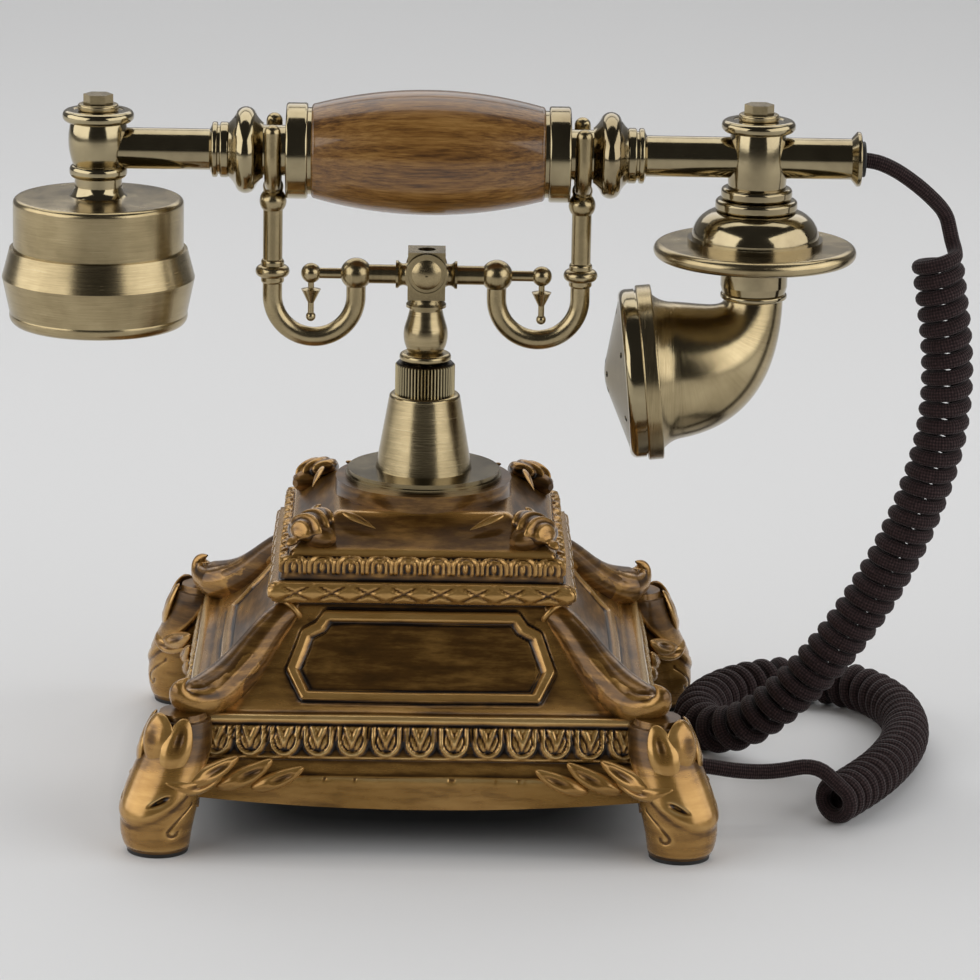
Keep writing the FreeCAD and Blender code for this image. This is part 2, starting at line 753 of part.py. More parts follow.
def base_shell():
    outside = base_outside()
    pieces = [turned([(0, EAVE_TOP), (BOSS_RADIUS + BOSS_FLARE, EAVE_TOP), (BOSS_RADIUS, BOSS_FLARE_Z),
                      (BOSS_RADIUS, BOSS_TOP), (0, BOSS_TOP)]),
              on_dial(Part.makeCylinder(HOUSING_RADIUS, HOUSING_DEPTH, Vector(0, 0, -HOUSING_DEPTH)))]
    for sx, sy in corners(1):
        pieces += [foot(sx, sy), roof_leaf(sx, sy)] + rib(sx, sy)
    body = outside.multiFuse(pieces)
    body = body.cut(base_inside())
    posts = [Part.makeCylinder(POST_RADIUS, NECK_Z, Vector(x, y, FLOOR_TOP)).common(outside)
             for x, y in corners(POST_HALF)]
    body = body.multiFuse(posts)
    body = cut_all(body, apron_cutters())
    holes = [dial_hole(CASE_RADIUS + PLAY, CASE_DEPTH + PLAY), dial_hole(PLATE_RADIUS + PLAY, PLATE_RECESS),
             on_dial(Part.makeCylinder(HOUSING_RADIUS, HOUSING_DEPTH)),
             Part.makeCylinder(BUSH_BORE, BOSS_TOP, Vector(0, 0, BUSH_LOW)),
             gland_hole(GLAND_RADIUS, GLAND_SEAT - GLAND_DEPTH), gland_hole(GLAND_FLANGE_RADIUS, GLAND_SEAT),
             gland_hole(CORD_RADIUS, POST_HALF)]
    screw_hole = SCREW_RADIUS + FIT
    holes += [dial_hole(screw_hole, SCREW_LENGTH + PLATE_RECESS, x, y) for x, y in dial_screw_points()]
    holes += [Part.makeCylinder(screw_hole, SCREW_LENGTH, Vector(x, y, FLOOR_TOP))
              for x, y in corners(POST_HALF)]
    holes += [Part.makeCylinder(screw_hole, SCREW_LENGTH, Vector(x, 0, ROOF_UNDER)) for x in ear_screws()]
    return cut_all(body, holes)


def gland_hole(radius, start):
    """Hole through the right wall, from a distance out to the face of the apron."""
    return rod(radius + FIT, (start, GLAND_Y, GLAND_Z), (APRON_HALF, GLAND_Y, GLAND_Z))


def ear_screws():
    """Where the ears of the switch bracket are screwed to the roof."""
    middle = BRACKET_HALF + BRACKET_EAR / 2
    return (-middle, middle)


def foot_pads():
    return [Part.makeCylinder(PAD_RADIUS, PAD_THICK, Vector(x, y, 0)) for x, y in corners(FOOT_HALF)]


def screw(at, axis):
    """Screw whose head sits on the point at and whose shank points along axis."""
    return placed(fused(Part.makeCylinder(SCREW_HEAD_RADIUS, SCREW_HEAD, Vector(0, 0, -SCREW_HEAD)),
                        Part.makeCylinder(SCREW_RADIUS, SCREW_LENGTH)), at, axis)


# Turned stack and guide of the cradle stem

def top_disc():
    return turned([(BUSH_BORE, BOSS_TOP), (DISC_RADIUS, BOSS_TOP), (DISC_RADIUS, BOSS_TOP + DISC_STEP),
                   (DISC_RADIUS - DISC_STEP_IN, BOSS_TOP + DISC_STEP), (DISC_RADIUS - DISC_STEP_IN, DISC_TOP),
                   (BUSH_BORE, DISC_TOP)])


def cone_sleeve():
    ease = CONE_SHOULDER * (1 - math.sqrt(0.5))
    return turned([(CONE_RADIUS - CONE_WALL, DISC_TOP), (CONE_RADIUS, DISC_TOP),
                   (CONE_TOP_RADIUS, CONE_TOP - CONE_SHOULDER),
                   ((CONE_TOP_RADIUS - ease, CONE_TOP - ease), (CONE_TOP_RADIUS - CONE_SHOULDER, CONE_TOP)),
                   (BUSH_BORE, CONE_TOP), (BUSH_BORE, CONE_TOP - CONE_CROWN),
                   (CONE_TOP_RADIUS - CONE_WALL, CONE_TOP - CONE_CROWN)])


def knurled_collar():
    points = []
    for k in range(2 * KNURL_TEETH):
        radius = KNURL_RADIUS - KNURL_DEPTH * (k % 2)
        angle = math.pi * k / KNURL_TEETH
        points.append(Vector(radius * math.cos(angle), radius * math.sin(angle), CONE_TOP))
    body = Part.Face(Part.makePolygon(points + [points[0]])).extrude(UP * KNURL_HEIGHT)
    beveled = KNURL_RADIUS - KNURL_BEVEL
    edge_low = KNURL_TOP - KNURL_BEVEL
    body = body.common(turned([(0, CONE_TOP), (KNURL_RADIUS, CONE_TOP), (KNURL_RADIUS, edge_low),
                               (beveled, KNURL_TOP), (0, KNURL_TOP)]))
    body = body.cut(Part.makeCylinder(BUSH_BORE, BUSH_TOP - CONE_TOP, Vector(0, 0, CONE_TOP)))
    return body.cut(Part.makeCylinder(STEM_RADIUS + PLAY, KNURL_HEIGHT, Vector(0, 0, CONE_TOP)))


def guide_bush():
    bore = STEM_RADIUS + FIT
    return turned([(bore, BUSH_LOW), (BUSH_RADIUS, BUSH_LOW), (BUSH_RADIUS, BUSH_TOP), (bore, BUSH_TOP)])


def bush_nut():
    nut = hexagon(NUT_FLATS, NUT_HEIGHT, (0, 0, ROOF_UNDER - NUT_HEIGHT))
    return nut.cut(Part.makeCylinder(BUSH_BORE, 2 * NUT_HEIGHT, Vector(0, 0, ROOF_UNDER - 1.5 * NUT_HEIGHT)))


def switch_bracket():
    """Hanger under the roof: a floor for the spring and switch, two sides and two ears."""
    inner = BRACKET_HALF - BRACKET_THICK
    high = ROOF_UNDER - BRACKET_THICK
    steps = [(0, BRACKET_FLOOR), (BRACKET_HALF, BRACKET_FLOOR), (BRACKET_HALF, high),
             (BRACKET_HALF + BRACKET_EAR, high), (BRACKET_HALF + BRACKET_EAR, ROOF_UNDER),
             (inner, ROOF_UNDER), (inner, BRACKET_TOP), (0, BRACKET_TOP)]
    body = Part.Face(outline(both_sides(steps))).extrude(DEEP * BRACKET_WIDTH)
    body.translate(DEEP * (-BRACKET_WIDTH / 2))
    return cut_all(body, [Part.makeCylinder(SCREW_RADIUS + FIT, BRACKET_THICK, Vector(x, 0, high))
                          for x in ear_screws()])


def hook_switch():
    """Small switch beside the spring, with its button under the clip of the stem."""
    side = BRACKET_HALF - BRACKET_THICK - SWITCH_WIDTH / 2
    body = block((SWITCH_WIDTH, SWITCH_LENGTH, SWITCH_HEIGHT), (side, 0, BRACKET_TOP + SWITCH_HEIGHT / 2))
    button_x = CLIP_RADIUS - 1.5 * BUTTON_RADIUS
    top = (button_x, 0, CLIP_LOW - BODY_GAP)
    return fused(body, rod(BUTTON_RADIUS, (button_x, 0, BRACKET_TOP + SWITCH_HEIGHT / 2), top))


def biarc(start, ahead, end, onward):
    """Two arcs from one point and direction to another."""
    span = end - start
    both = ahead + onward
    a = 2 * (1 - ahead.dot(onward))
    b = 2 * span.dot(both)
    c = -span.dot(span)
    reach = -c / b if a < 1e-9 else (-b + math.sqrt(b * b - 4 * a * c)) / (2 * a)
    joint = (start + ahead * reach + end - onward * reach) * 0.5
    chord = joint - start
    chord.normalize()
    turned_ahead = chord * (2 * chord.dot(ahead)) - ahead
    return [arc(start, ahead, joint), arc(joint, turned_ahead, end)]


def arc(start, ahead, end):
    """Arc that leaves a point in a direction, with its radius."""
    chord = end - start
    side = chord - ahead * chord.dot(ahead)
    if side.Length < 1e-6:
        return Part.makeLine(start, end), math.inf
    radius = chord.dot(chord) / (2 * side.Length)
    side.normalize()
    centre = start + side * radius
    out = (start + end) * 0.5 - centre
    out.normalize()
    return Part.Arc(start, centre + out * radius, end).toShape(), radius


def winding(place, marks):
    """Arcs along a wound wire: place gives its point at a mark."""
    step = 0.002
    points = [place(m) for m in marks]
    aheads = []
    for m in marks:
        low, high = max(m - step, marks[0]), min(m + step, marks[-1])
        ahead = place(high) - place(low)
        ahead.normalize()
        aheads.append(ahead)
    arcs = []
    for k in range(len(marks) - 1):
        arcs += biarc(points[k], aheads[k], points[k + 1], aheads[k + 1])
    return [a[0] for a in arcs], min(a[1] for a in arcs), aheads


def piped(edges, start, ahead, diameter):
    """Round wire along a path."""
    path = Part.Wire(edges)
    profile = Part.Wire(Part.Circle(start, ahead, diameter / 2).toShape())
    return path, path.makePipeShell([profile], True, False)


def cradle_spring():
    low = BRACKET_TOP + SPRING_WIRE / 2 + FIT
    high = CLIP_LOW - SPRING_WIRE / 2 - FIT

    def place(turn):
        angle = 2 * math.pi * turn
        return Vector(SPRING_RADIUS * math.cos(angle), SPRING_RADIUS * math.sin(angle),
                      low + (high - low) * turn / SPRING_TURNS)

    marks = [k / 2 for k in range(2 * SPRING_TURNS + 1)]
    edges, tightest, aheads = winding(place, marks)
    return piped(edges, place(0), aheads[0], SPRING_WIRE)[1]


# Cradle

def cradle_stem():
    ring_top = STEM_RING_LOW + STEM_RING_HEIGHT
    low_waist = (STEM_WAIST_RADIUS, ring_top)
    shoulder = (STEM_SHOULDER_RADIUS, STEM_SHOULDER_Z)
    neck = (STEM_NECK_RADIUS, STEM_NECK_Z)
    rim_top = (STEM_TOP_RADIUS, STEM_TOP_LOW + STEM_TOP_RIM)
    collar = (STEM_COLLAR_RADIUS, BLOCK_LOW)
    groove = CLIP_GROOVE + FIT
    steps = [(0, STEM_END), (STEM_RADIUS, STEM_END), (STEM_RADIUS, CLIP_LOW),
             (STEM_RADIUS - groove, CLIP_LOW), (STEM_RADIUS - groove, CLIP_TOP), (STEM_RADIUS, CLIP_TOP),
             (STEM_RADIUS, STEM_RING_LOW)]
    steps += rim(STEM_RING_RADIUS, STEM_RING_LOW, ring_top, STEM_RING_HEIGHT / 2.2)
    steps += [low_waist, ((BELLY_RADIUS, BELLY_Z), shoulder), (sagged(shoulder, neck, 0.08), neck),
              (STEM_NECK_RADIUS, STEM_TOP_LOW), (STEM_TOP_RADIUS, STEM_TOP_LOW), rim_top,
              (sagged(rim_top, collar, 0.2), collar), (STEM_PEG_RADIUS, BLOCK_LOW),
              (STEM_PEG_RADIUS, BLOCK_LOW + STEM_PEG), (0, BLOCK_LOW + STEM_PEG)]
    return turned(steps)


def stem_clip():
    inner = STEM_RADIUS - CLIP_GROOVE
    return turned([(inner, CLIP_LOW), (CLIP_RADIUS, CLIP_LOW), (CLIP_RADIUS, CLIP_TOP), (inner, CLIP_TOP)])


def cross_block():
    """Square block with a rimmed disc and dome on its front and its back."""
    top = BLOCK_LOW + BLOCK_HEIGHT
    body = block((2 * BLOCK_HALF, 2 * BLOCK_HALF, BLOCK_HEIGHT), (0, 0, (BLOCK_LOW + top) / 2))
    face = BLOCK_HALF + BOSS_DISC_OUT
    floor = face - BOSS_DISH
    inner = BOSS_DISC_RADIUS - BOSS_RIM
    boss = [(0, 0), (BOSS_DOME_RADIUS, 0), (BOSS_DOME_RADIUS, BLOCK_HALF), (BOSS_DISC_RADIUS, BLOCK_HALF),
            (BOSS_DISC_RADIUS, face), (inner, face), (inner, floor), (BOSS_DOME_RADIUS, floor),
            cap(BOSS_DOME_RADIUS, BOSS_DOME_OUT, floor)]
    body = body.multiFuse([turned(boss, (0, 0, ARM_Z + BOSS_DISC_RISE), DEEP * side) for side in (-1, 1)])
    upper_hole = Part.makeCylinder(BLOCK_HOLE_RADIUS, BLOCK_HOLE_DEPTH, Vector(0, 0, top - BLOCK_HOLE_DEPTH))
    lower_hole = Part.makeCylinder(STEM_PEG_RADIUS + FIT, STEM_PEG + FIT, Vector(0, 0, BLOCK_LOW))
    return cut_all(body, [upper_hole, lower_hole])


def right_arm():
    """Collar, tube, ball, thin rod and end ball, turned about X."""
    start = BLOCK_HALF
    end = start + COLLAR_WIDTH
    root = (COLLAR_ROOT_RADIUS, start)
    flare = (COLLAR_RADIUS, end - COLLAR_RIM)
    steps = [(0, start), root, ((COLLAR_WAIST_RADIUS, start + COLLAR_WAIST), flare), (COLLAR_RADIUS, end)]
    reach = math.sqrt(BALL_RADIUS ** 2 - ARM_RADIUS ** 2)
    thin = math.sqrt(BALL_RADIUS ** 2 - ROD_RADIUS ** 2)
    last = math.sqrt(END_BALL_RADIUS ** 2 - ROD_RADIUS ** 2)
    steps += [(ARM_RADIUS, end), (ARM_RADIUS, BALL_X - reach),
              ((BALL_RADIUS, BALL_X), (ROD_RADIUS, BALL_X + thin)), (ROD_RADIUS, END_BALL_X - last),
              ((END_BALL_RADIUS, END_BALL_X), (0, END_BALL_X + END_BALL_RADIUS))]
    arm = turned(steps, (0, 0, ARM_Z), RIGHT)
    peg_top = ARM_Z - END_BALL_RADIUS / 3
    return cut_all(arm, [rod(HOOK_RADIUS + FIT, (BALL_X, 0, HOOK_TURN_Z), (BALL_X, 0, HOOK_PEG_Z)),
                         rod(DROP_NECK_RADIUS + FIT, (END_BALL_X, 0, HOOK_TURN_Z), (END_BALL_X, 0, peg_top))])


def drop_finial():
    """Inverted cone on a thin rod, with a bead at its end."""
    peg_top = ARM_Z - END_BALL_RADIUS / 3
    cone_top = ARM_Z - END_BALL_RADIUS - DROP_NECK
    cone_low = cone_top - DROP_CONE
    rod_low = cone_low - DROP_ROD
    bead = rod_low - DROP_BALL_RADIUS
    reach = math.sqrt(DROP_BALL_RADIUS ** 2 - DROP_NECK_RADIUS ** 2)
    steps = [(0, bead - DROP_BALL_RADIUS), ((DROP_BALL_RADIUS, bead), (DROP_NECK_RADIUS, bead + reach)),
             (DROP_NECK_RADIUS, cone_low), (DROP_RADIUS, cone_top - DROP_BEVEL), (DROP_NECK_RADIUS, cone_top),
             (DROP_NECK_RADIUS, peg_top), (0, peg_top)]
    return turned(steps, (END_BALL_X, 0, 0))


def right_hook():
    """Round bar in a U from the arm ball up to a fork across the handset's neck."""
    fork_low = HANDSET_Z - PRONG_SPREAD
    bars = [rod(HOOK_RADIUS, (BALL_X, 0, HOOK_TURN_Z), (BALL_X, 0, HOOK_PEG_Z)),
            bent_rod(HOOK_RADIUS, (BALL_X, 0, HOOK_TURN_Z), UP,
                     ((HOOK_X + BALL_X) / 2, 0, HOOK_TURN_Z), DEEP * -1),
            rod(HOOK_RADIUS, (HOOK_X, 0, HOOK_TURN_Z), (HOOK_X, 0, fork_low)),
            bent_rod(PRONG_RADIUS, (HOOK_X, -PRONG_SPREAD, HANDSET_Z), UP, (HOOK_X, 0, HANDSET_Z), RIGHT)]
    for side in (-PRONG_SPREAD, PRONG_SPREAD):
        tip = (HOOK_X, side, PRONG_TIP_Z - PRONG_RADIUS)
        bars += [rod(PRONG_RADIUS, (HOOK_X, side, HANDSET_Z), tip), ball(PRONG_RADIUS, tip)]
    half = BEAD_RING_WIDTH / 2
    beads = [turned([(0, BEAD_Z - half)] + rim(BEAD_RING_RADIUS, BEAD_Z - half, BEAD_Z + half, 1.0)
                    + [(0, BEAD_Z + half)], (HOOK_X, 0, 0)),
             turned([(0, BEAD_Z - BEAD_WIDTH / 2)]
                    + rim(BEAD_RADIUS, BEAD_Z - BEAD_WIDTH / 2, BEAD_Z + BEAD_WIDTH / 2, BEAD_WIDTH / 2)
                    + [(0, BEAD_Z + BEAD_WIDTH / 2)], (HOOK_X, 0, 0)),
             ball(SWELL_RADIUS, (HOOK_X, 0, SWELL_Z)), ball(FORK_BALL_RADIUS, (HOOK_X, 0, FORK_BALL_Z))]
    return fused(*bars, *beads)


# Handset bar

def on_handset(steps):
    """Piece turned about the handset's axis, from (radius, distance from the middle) steps."""
    return turned(steps, (0, 0, HANDSET_Z), RIGHT)


def grip():
    ease = GRIP_EDGE * (1 - math.sqrt(0.5))
    end = GRIP_END_RADIUS
    return on_handset([(TIE_BORE, -GRIP_HALF), (end - GRIP_EDGE, -GRIP_HALF),
                       ((end - ease, ease - GRIP_HALF), (end, GRIP_EDGE - GRIP_HALF)),
                       ((GRIP_RADIUS, 0), (end, GRIP_HALF - GRIP_EDGE)),
                       ((end - ease, GRIP_HALF - ease), (end - GRIP_EDGE, GRIP_HALF)), (TIE_BORE, GRIP_HALF)])


def grip_collar():
    start = GRIP_HALF + COLLAR_GROOVE
    groove = [(TIE_BORE, GRIP_HALF), (COLLAR_GROOVE_RADIUS, GRIP_HALF), (COLLAR_GROOVE_RADIUS, start)]
    collar = rim(GRIP_COLLAR_RADIUS, start, COLLAR_OUT, GRIP_COLLAR_EDGE)
    return on_handset(groove + collar + [(TIE_BORE, COLLAR_OUT)])


def right_knob():
    """Neck for the fork, ogee knob and double ring."""
    root = (KNOB_ROOT_RADIUS, KNOB_START)
    crest = (KNOB_CREST_RADIUS, KNOB_X - KNOB_CREST_HALF)
    far_crest = (KNOB_CREST_RADIUS, KNOB_X + KNOB_CREST_HALF)
    far_root = (KNOB_ROOT_RADIUS, KNOB_END)
    first = KNOB_END + RING_WIDTH
    second = first + RING_GROOVE
    steps = [(TIE_BORE, COLLAR_OUT), (NECK_RADIUS, COLLAR_OUT), (NECK_RADIUS, KNOB_START), root,
             (sagged(root, crest, KNOB_SAG), crest), ((KNOB_RADIUS, KNOB_X), far_crest),
             (sagged(far_crest, far_root, KNOB_SAG), far_root)]
    steps += rim(RING_RADIUS, KNOB_END, first, RING_EDGE)
    steps += [(RING_GROOVE_RADIUS, first), (RING_GROOVE_RADIUS, second)]
    steps += rim(RING_RADIUS, second, second + LAST_RING_WIDTH, RING_EDGE)
    steps += [(TUBE_RADIUS, RING_END), (TIE_BORE, RING_END)]
    return on_handset(steps)


def tie_tube():
    bore = TIE_RADIUS - TIE_WALL
    return on_handset([(bore, -TIE_END), (TIE_RADIUS, -TIE_END), (TIE_RADIUS, TIE_END), (bore, TIE_END)])


def tube_to(end):
    return on_handset([(TIE_BORE, RING_END), (TUBE_RADIUS, RING_END), (TUBE_RADIUS, end), (TIE_BORE, end)])


def column(flange_radius, barrel_radius, lower_steps, foot_z):
    """Post across the end of the handset: bolt hole, dished flange and barrel over the given lower part."""
    bolt_hole = BOLT_RADIUS + FIT
    bolt_low = HANDSET_Z + TUBE_HOLE + BODY_GAP
    floor = FLANGE_TOP - FLANGE_DISH
    flange_low = FLANGE_TOP - FLANGE_THICK
    steps = [(bolt_hole, floor), (bolt_hole, bolt_low), (0, bolt_low), (0, foot_z)] + lower_steps
    steps += [((barrel_radius, BARREL_Z), (BARREL_TOP_RADIUS, flange_low))]
    steps += rim(flange_radius, flange_low, FLANGE_TOP, FLANGE_THICK / 2.2)
    steps += [(FLANGE_DISH_RADIUS, FLANGE_TOP), (FLANGE_DISH_RADIUS - FLANGE_DISH, floor)]
    return turned(steps)


def ear_column():
    """Post of the ear cup, with a hollow spigot down into the cup."""
    foot_radius = COLUMN_FOOT_RADIUS
    waist = (EAR_WAIST_RADIUS, EAR_WAIST_Z)
    steps = [(SPIGOT_RADIUS, EAR_TOP - SPIGOT_LENGTH), (SPIGOT_RADIUS, EAR_TOP), (foot_radius, EAR_TOP),
             (sagged((foot_radius, EAR_TOP), waist, 0.3), waist), (EAR_WAIST_RADIUS, EAR_BEAD_LOW)]
    steps += rim(EAR_BEAD_RADIUS, EAR_BEAD_LOW, EAR_BARREL_LOW, 1.5)
    steps += [(EAR_BARREL_LOW_RADIUS, EAR_BARREL_LOW)]
    body = column(FLANGE_RADIUS, BARREL_RADIUS, steps, EAR_TOP - SPIGOT_LENGTH)
    body = body.cut(Part.makeCylinder(SPIGOT_BORE, HANDSET_Z - EAR_TOP + SPIGOT_LENGTH,
                                      Vector(0, 0, EAR_TOP - SPIGOT_LENGTH)))
    return body.cut(rod(TUBE_HOLE, (-COLUMN_TUBE_PAST, 0, HANDSET_Z), (2 * BARREL_RADIUS, 0, HANDSET_Z)))


def mouth_column():
    """Post of the mouthpiece: the tube runs through it, and the trunk of the neck screws in from below."""
    bore = TRUNK_RADIUS + FIT
    middle = DOME_TOP + MOUTH_RING_HEIGHT
    steps = [(0, TRUNK_TOP), (bore, TRUNK_TOP), (bore, DOME_TOP)]
    steps += rim(LOWER_RING_RADIUS, DOME_TOP, middle, MOUTH_RING_EDGE)
    steps += rim(UPPER_RING_RADIUS, middle, MOUTH_BARREL_LOW, MOUTH_RING_EDGE)
    steps += [(MOUTH_BARREL_LOW_RADIUS, MOUTH_BARREL_LOW)]
    body = column(MOUTH_FLANGE_RADIUS, MOUTH_BARREL_RADIUS, steps, TRUNK_TOP)
    reach = 2 * MOUTH_BARREL_RADIUS
    body = body.cut(rod(TRUNK_BORE, (0, 0, DOME_TOP), (0, 0, HANDSET_Z)))
    return body.cut(rod(TUBE_HOLE, (-reach, 0, HANDSET_Z), (reach, 0, HANDSET_Z)))


def column_bolt():
    """Hexagonal bolt with its washer."""
    floor = FLANGE_TOP - FLANGE_DISH
    washer = turned([(0, floor)] + rim(WASHER_RADIUS, floor, floor + WASHER_THICK, WASHER_EDGE)
                    + [(0, floor + WASHER_THICK)])
    shank_low = HANDSET_Z + TUBE_HOLE + 2 * BODY_GAP
    shank = Part.makeCylinder(BOLT_RADIUS, floor + WASHER_THICK - shank_low, Vector(0, 0, shank_low))
    return fused(washer, shank, hexagon(BOLT_FLATS, BOLT_HEAD, (0, 0, floor + WASHER_THICK)))


# Ear cup

def ear_cup():
    hole = SPIGOT_RADIUS + FIT
    top = EAR_TOP - EAR_CROWN
    inner = EAR_RADIUS - EAR_WALL
    ease = EAR_SHOULDER * (1 - math.sqrt(0.5))
    return turned([(hole, EAR_TOP - EAR_WALL), (hole, EAR_TOP), (COLUMN_FOOT_RADIUS, EAR_TOP),
                   (EAR_RADIUS - EAR_SHOULDER, top),
                   ((EAR_RADIUS - ease, top - ease), (EAR_RADIUS, top - EAR_SHOULDER)),
                   (EAR_RADIUS, EAR_SEAT), (inner, EAR_SEAT), (inner, top - EAR_WALL - EAR_SHOULDER),
                   (inner - EAR_SHOULDER, top - EAR_WALL)])


def ear_ring():
    """Screwed ring and sound plate that close the cup."""
    bore = EAR_RADIUS + FIT
    inner = EAR_RADIUS - EAR_WALL
    low = (EAR_RING_RADIUS, EAR_LOW_Z)
    edge = (EAR_FOOT_RADIUS, EAR_FOOT)
    body = turned([(0, EAR_FOOT), edge, (sagged(edge, low, -0.8), low), (EAR_RIM_RADIUS, EAR_RIM_Z),
                   (EAR_RING_RADIUS, EAR_RING_TOP), (bore, EAR_RING_TOP), (bore, EAR_SEAT), (inner, EAR_SEAT),
                   (inner, EAR_FOOT + EAR_PLATE), (0, EAR_FOOT + EAR_PLATE)])
    holes = [(0.0, 0.0)] + around(SOUND_RING, SOUND_HOLES)
    return cut_all(body, [Part.makeCylinder(SOUND_HOLE_RADIUS, EAR_PLATE, Vector(x, y, EAR_FOOT))
                          for x, y in holes])


def earphone():
    low = EAR_FOOT + EAR_PLATE
    high = low + EARPHONE_HEIGHT
    return turned([(0, low), (EARPHONE_RADIUS, low), (EARPHONE_RADIUS, high), (MAGNET_RADIUS, high),
                   (MAGNET_RADIUS, high + MAGNET_HEIGHT), (0, high + MAGNET_HEIGHT)])


# Mouthpiece

def mouth_dome():
    bore = TRUNK_RADIUS + FIT
    ring_top = GUARD_TOP + DOME_RING_HEIGHT
    top, low = (DOME_TOP_RADIUS, DOME_TOP), (DOME_RADIUS, DOME_LOW)
    inner_low = (DOME_RADIUS - DOME_WALL, DOME_LOW)
    inner_top = (DOME_TOP_RADIUS - DOME_WALL, DOME_TOP - DOME_WALL)
    return turned([(bore, DOME_TOP), top, (sagged(low, top, -DOME_BULGE), low), (DOME_RADIUS, ring_top),
                   (DOME_RING_RADIUS, ring_top), (DOME_RING_RADIUS, GUARD_TOP),
                   (DOME_RADIUS - DOME_WALL, GUARD_TOP), inner_low,
                   (sagged(inner_low, inner_top, -DOME_BULGE), inner_top), (bore, DOME_TOP - DOME_WALL)])


def guard_disc():
    bore = TRUNK_RADIUS + FIT
    flat_half = GUARD_RADIUS - GUARD_EDGE
    return turned([(bore, GUARD_LOW), (NECK_COLLAR_RADIUS, GUARD_LOW), (flat_half, GUARD_TOP - GUARD_RIM),
                   ((GUARD_RADIUS, GUARD_TOP - GUARD_RIM / 2), (flat_half, GUARD_TOP)), (bore, GUARD_TOP)])


def horn_neck():
    """Collar between guard and horn, with a hollow trunk up through the dome into the column."""
    lip = HORN_TOP + NECK_LIP
    collar = NECK_COLLAR_RADIUS
    return turned([(TRUNK_BORE, HORN_TOP)] + rim(collar, HORN_TOP, lip, NECK_LIP / 2.2)
                  + [(NECK_WAIST_RADIUS, lip), (collar, lip + NECK_LIP), (collar, GUARD_LOW),
                     (TRUNK_RADIUS, GUARD_LOW), (TRUNK_RADIUS, TRUNK_TOP), (TRUNK_BORE, TRUNK_TOP)])


def horn_rings(thinner):
    """Centre, axis and radius of each control circle of the horn."""
    rings = []
    for outer, inner in HORN:
        centre = Vector(COLUMN_X - (outer[0] + inner[0]) / 2, 0, HORN_TOP + (outer[1] + inner[1]) / 2)
        chord = Vector(outer[0] - inner[0], 0, inner[1] - outer[1])
        axis = chord.cross(DEEP)
        axis.normalize()
        rings.append((centre, axis, chord.Length / 2 - thinner))
    return rings


def flowing(rings):
    """Solid with a smooth side drawn towards control circles, and flat ends."""
    poles, weights = [], []
    for centre, axis, radius in rings:
        across = axis.cross(DEEP)
        turn = [math.radians(45 * k) for k in range(9)]
        reach = [radius * (math.sqrt(2) if k % 2 else 1) for k in range(9)]
        poles.append([centre + DEEP * (reach[k] * math.cos(turn[k])) + across * (reach[k] * math.sin(turn[k]))
                      for k in range(9)])
        weights.append([math.sqrt(0.5) if k % 2 else 1.0 for k in range(9)])
    ends = len(rings)
    side = Part.BSplineSurface()
    side.buildFromPolesMultsKnots(poles, [ends, ends], [3, 2, 2, 2, 3], [0.0, 1.0], [0.0, 1.0, 2.0, 3.0, 4.0],
                                  False, False, ends - 1, 2, weights)
    caps = [Part.Face(Part.Wire(Part.Circle(*ring).toShape())) for ring in (rings[0], rings[-1])]
    shell = Part.makeShell([side.toShape()] + caps)
    shell.sewShape()
    solid = Part.Solid(shell)
    solid.fixTolerance(1e-5)
    return solid if solid.Volume > 0 else solid.reversed()


def horn():
    return flowing(horn_rings(0)).cut(flowing(horn_rings(HORN_WALL)))


def on_mouth(shape):
    """Put a shape made about +Z on the end of the horn, facing out of the mouthpiece."""
    centre, axis, radius = horn_rings(0)[-1]
    return placed(shape, centre, axis)


def horn_bell():
    start, end = (horn_rings(0)[-1][2], 0), (BELL_RADIUS, BELL_LENGTH)
    inner_start, inner_end = (start[0] - HORN_WALL, 0), (end[0] - HORN_WALL, BELL_LENGTH)
    return on_mouth(turned([start, (sagged(start, end, BELL_SAG), end), inner_end,
                            (sagged(inner_end, inner_start, BELL_SAG), inner_start)]))


def mouth_ring():
    web = MICROPHONE_RADIUS - MOUTH_WEB
    inner = MOUTH_RING_RADIUS - MOUTH_WALL
    return on_mouth(turned([(web, RING_AT)] + rim(MOUTH_RING_RADIUS, RING_AT, BEZEL_AT, MOUTH_RING_EASE)
                           + [(inner, BEZEL_AT), (inner, RING_AT + MOUTH_WEB), (web, RING_AT + MOUTH_WEB)]))


def mouth_bezel():
    shelf = GRILLE_RADIUS - BEZEL_SHELF
    groove = BEZEL_AT + BEZEL_GROOVE
    seat = FRONT_AT - GRILLE_SEAT
    ease = BEZEL_EDGE * (1 - math.sqrt(0.5))
    waist = BEZEL_RADIUS - BEZEL_GROOVE
    return on_mouth(turned([(shelf, BEZEL_AT), (waist, BEZEL_AT), (waist, groove), (BEZEL_RADIUS, groove),
                            (BEZEL_RADIUS, FRONT_AT - BEZEL_EDGE),
                            ((BEZEL_RADIUS - ease, FRONT_AT - ease), (BEZEL_RADIUS - BEZEL_EDGE, FRONT_AT)),
                            (GRILLE_RADIUS + FIT, FRONT_AT), (GRILLE_RADIUS + FIT, seat), (shelf, seat)]))


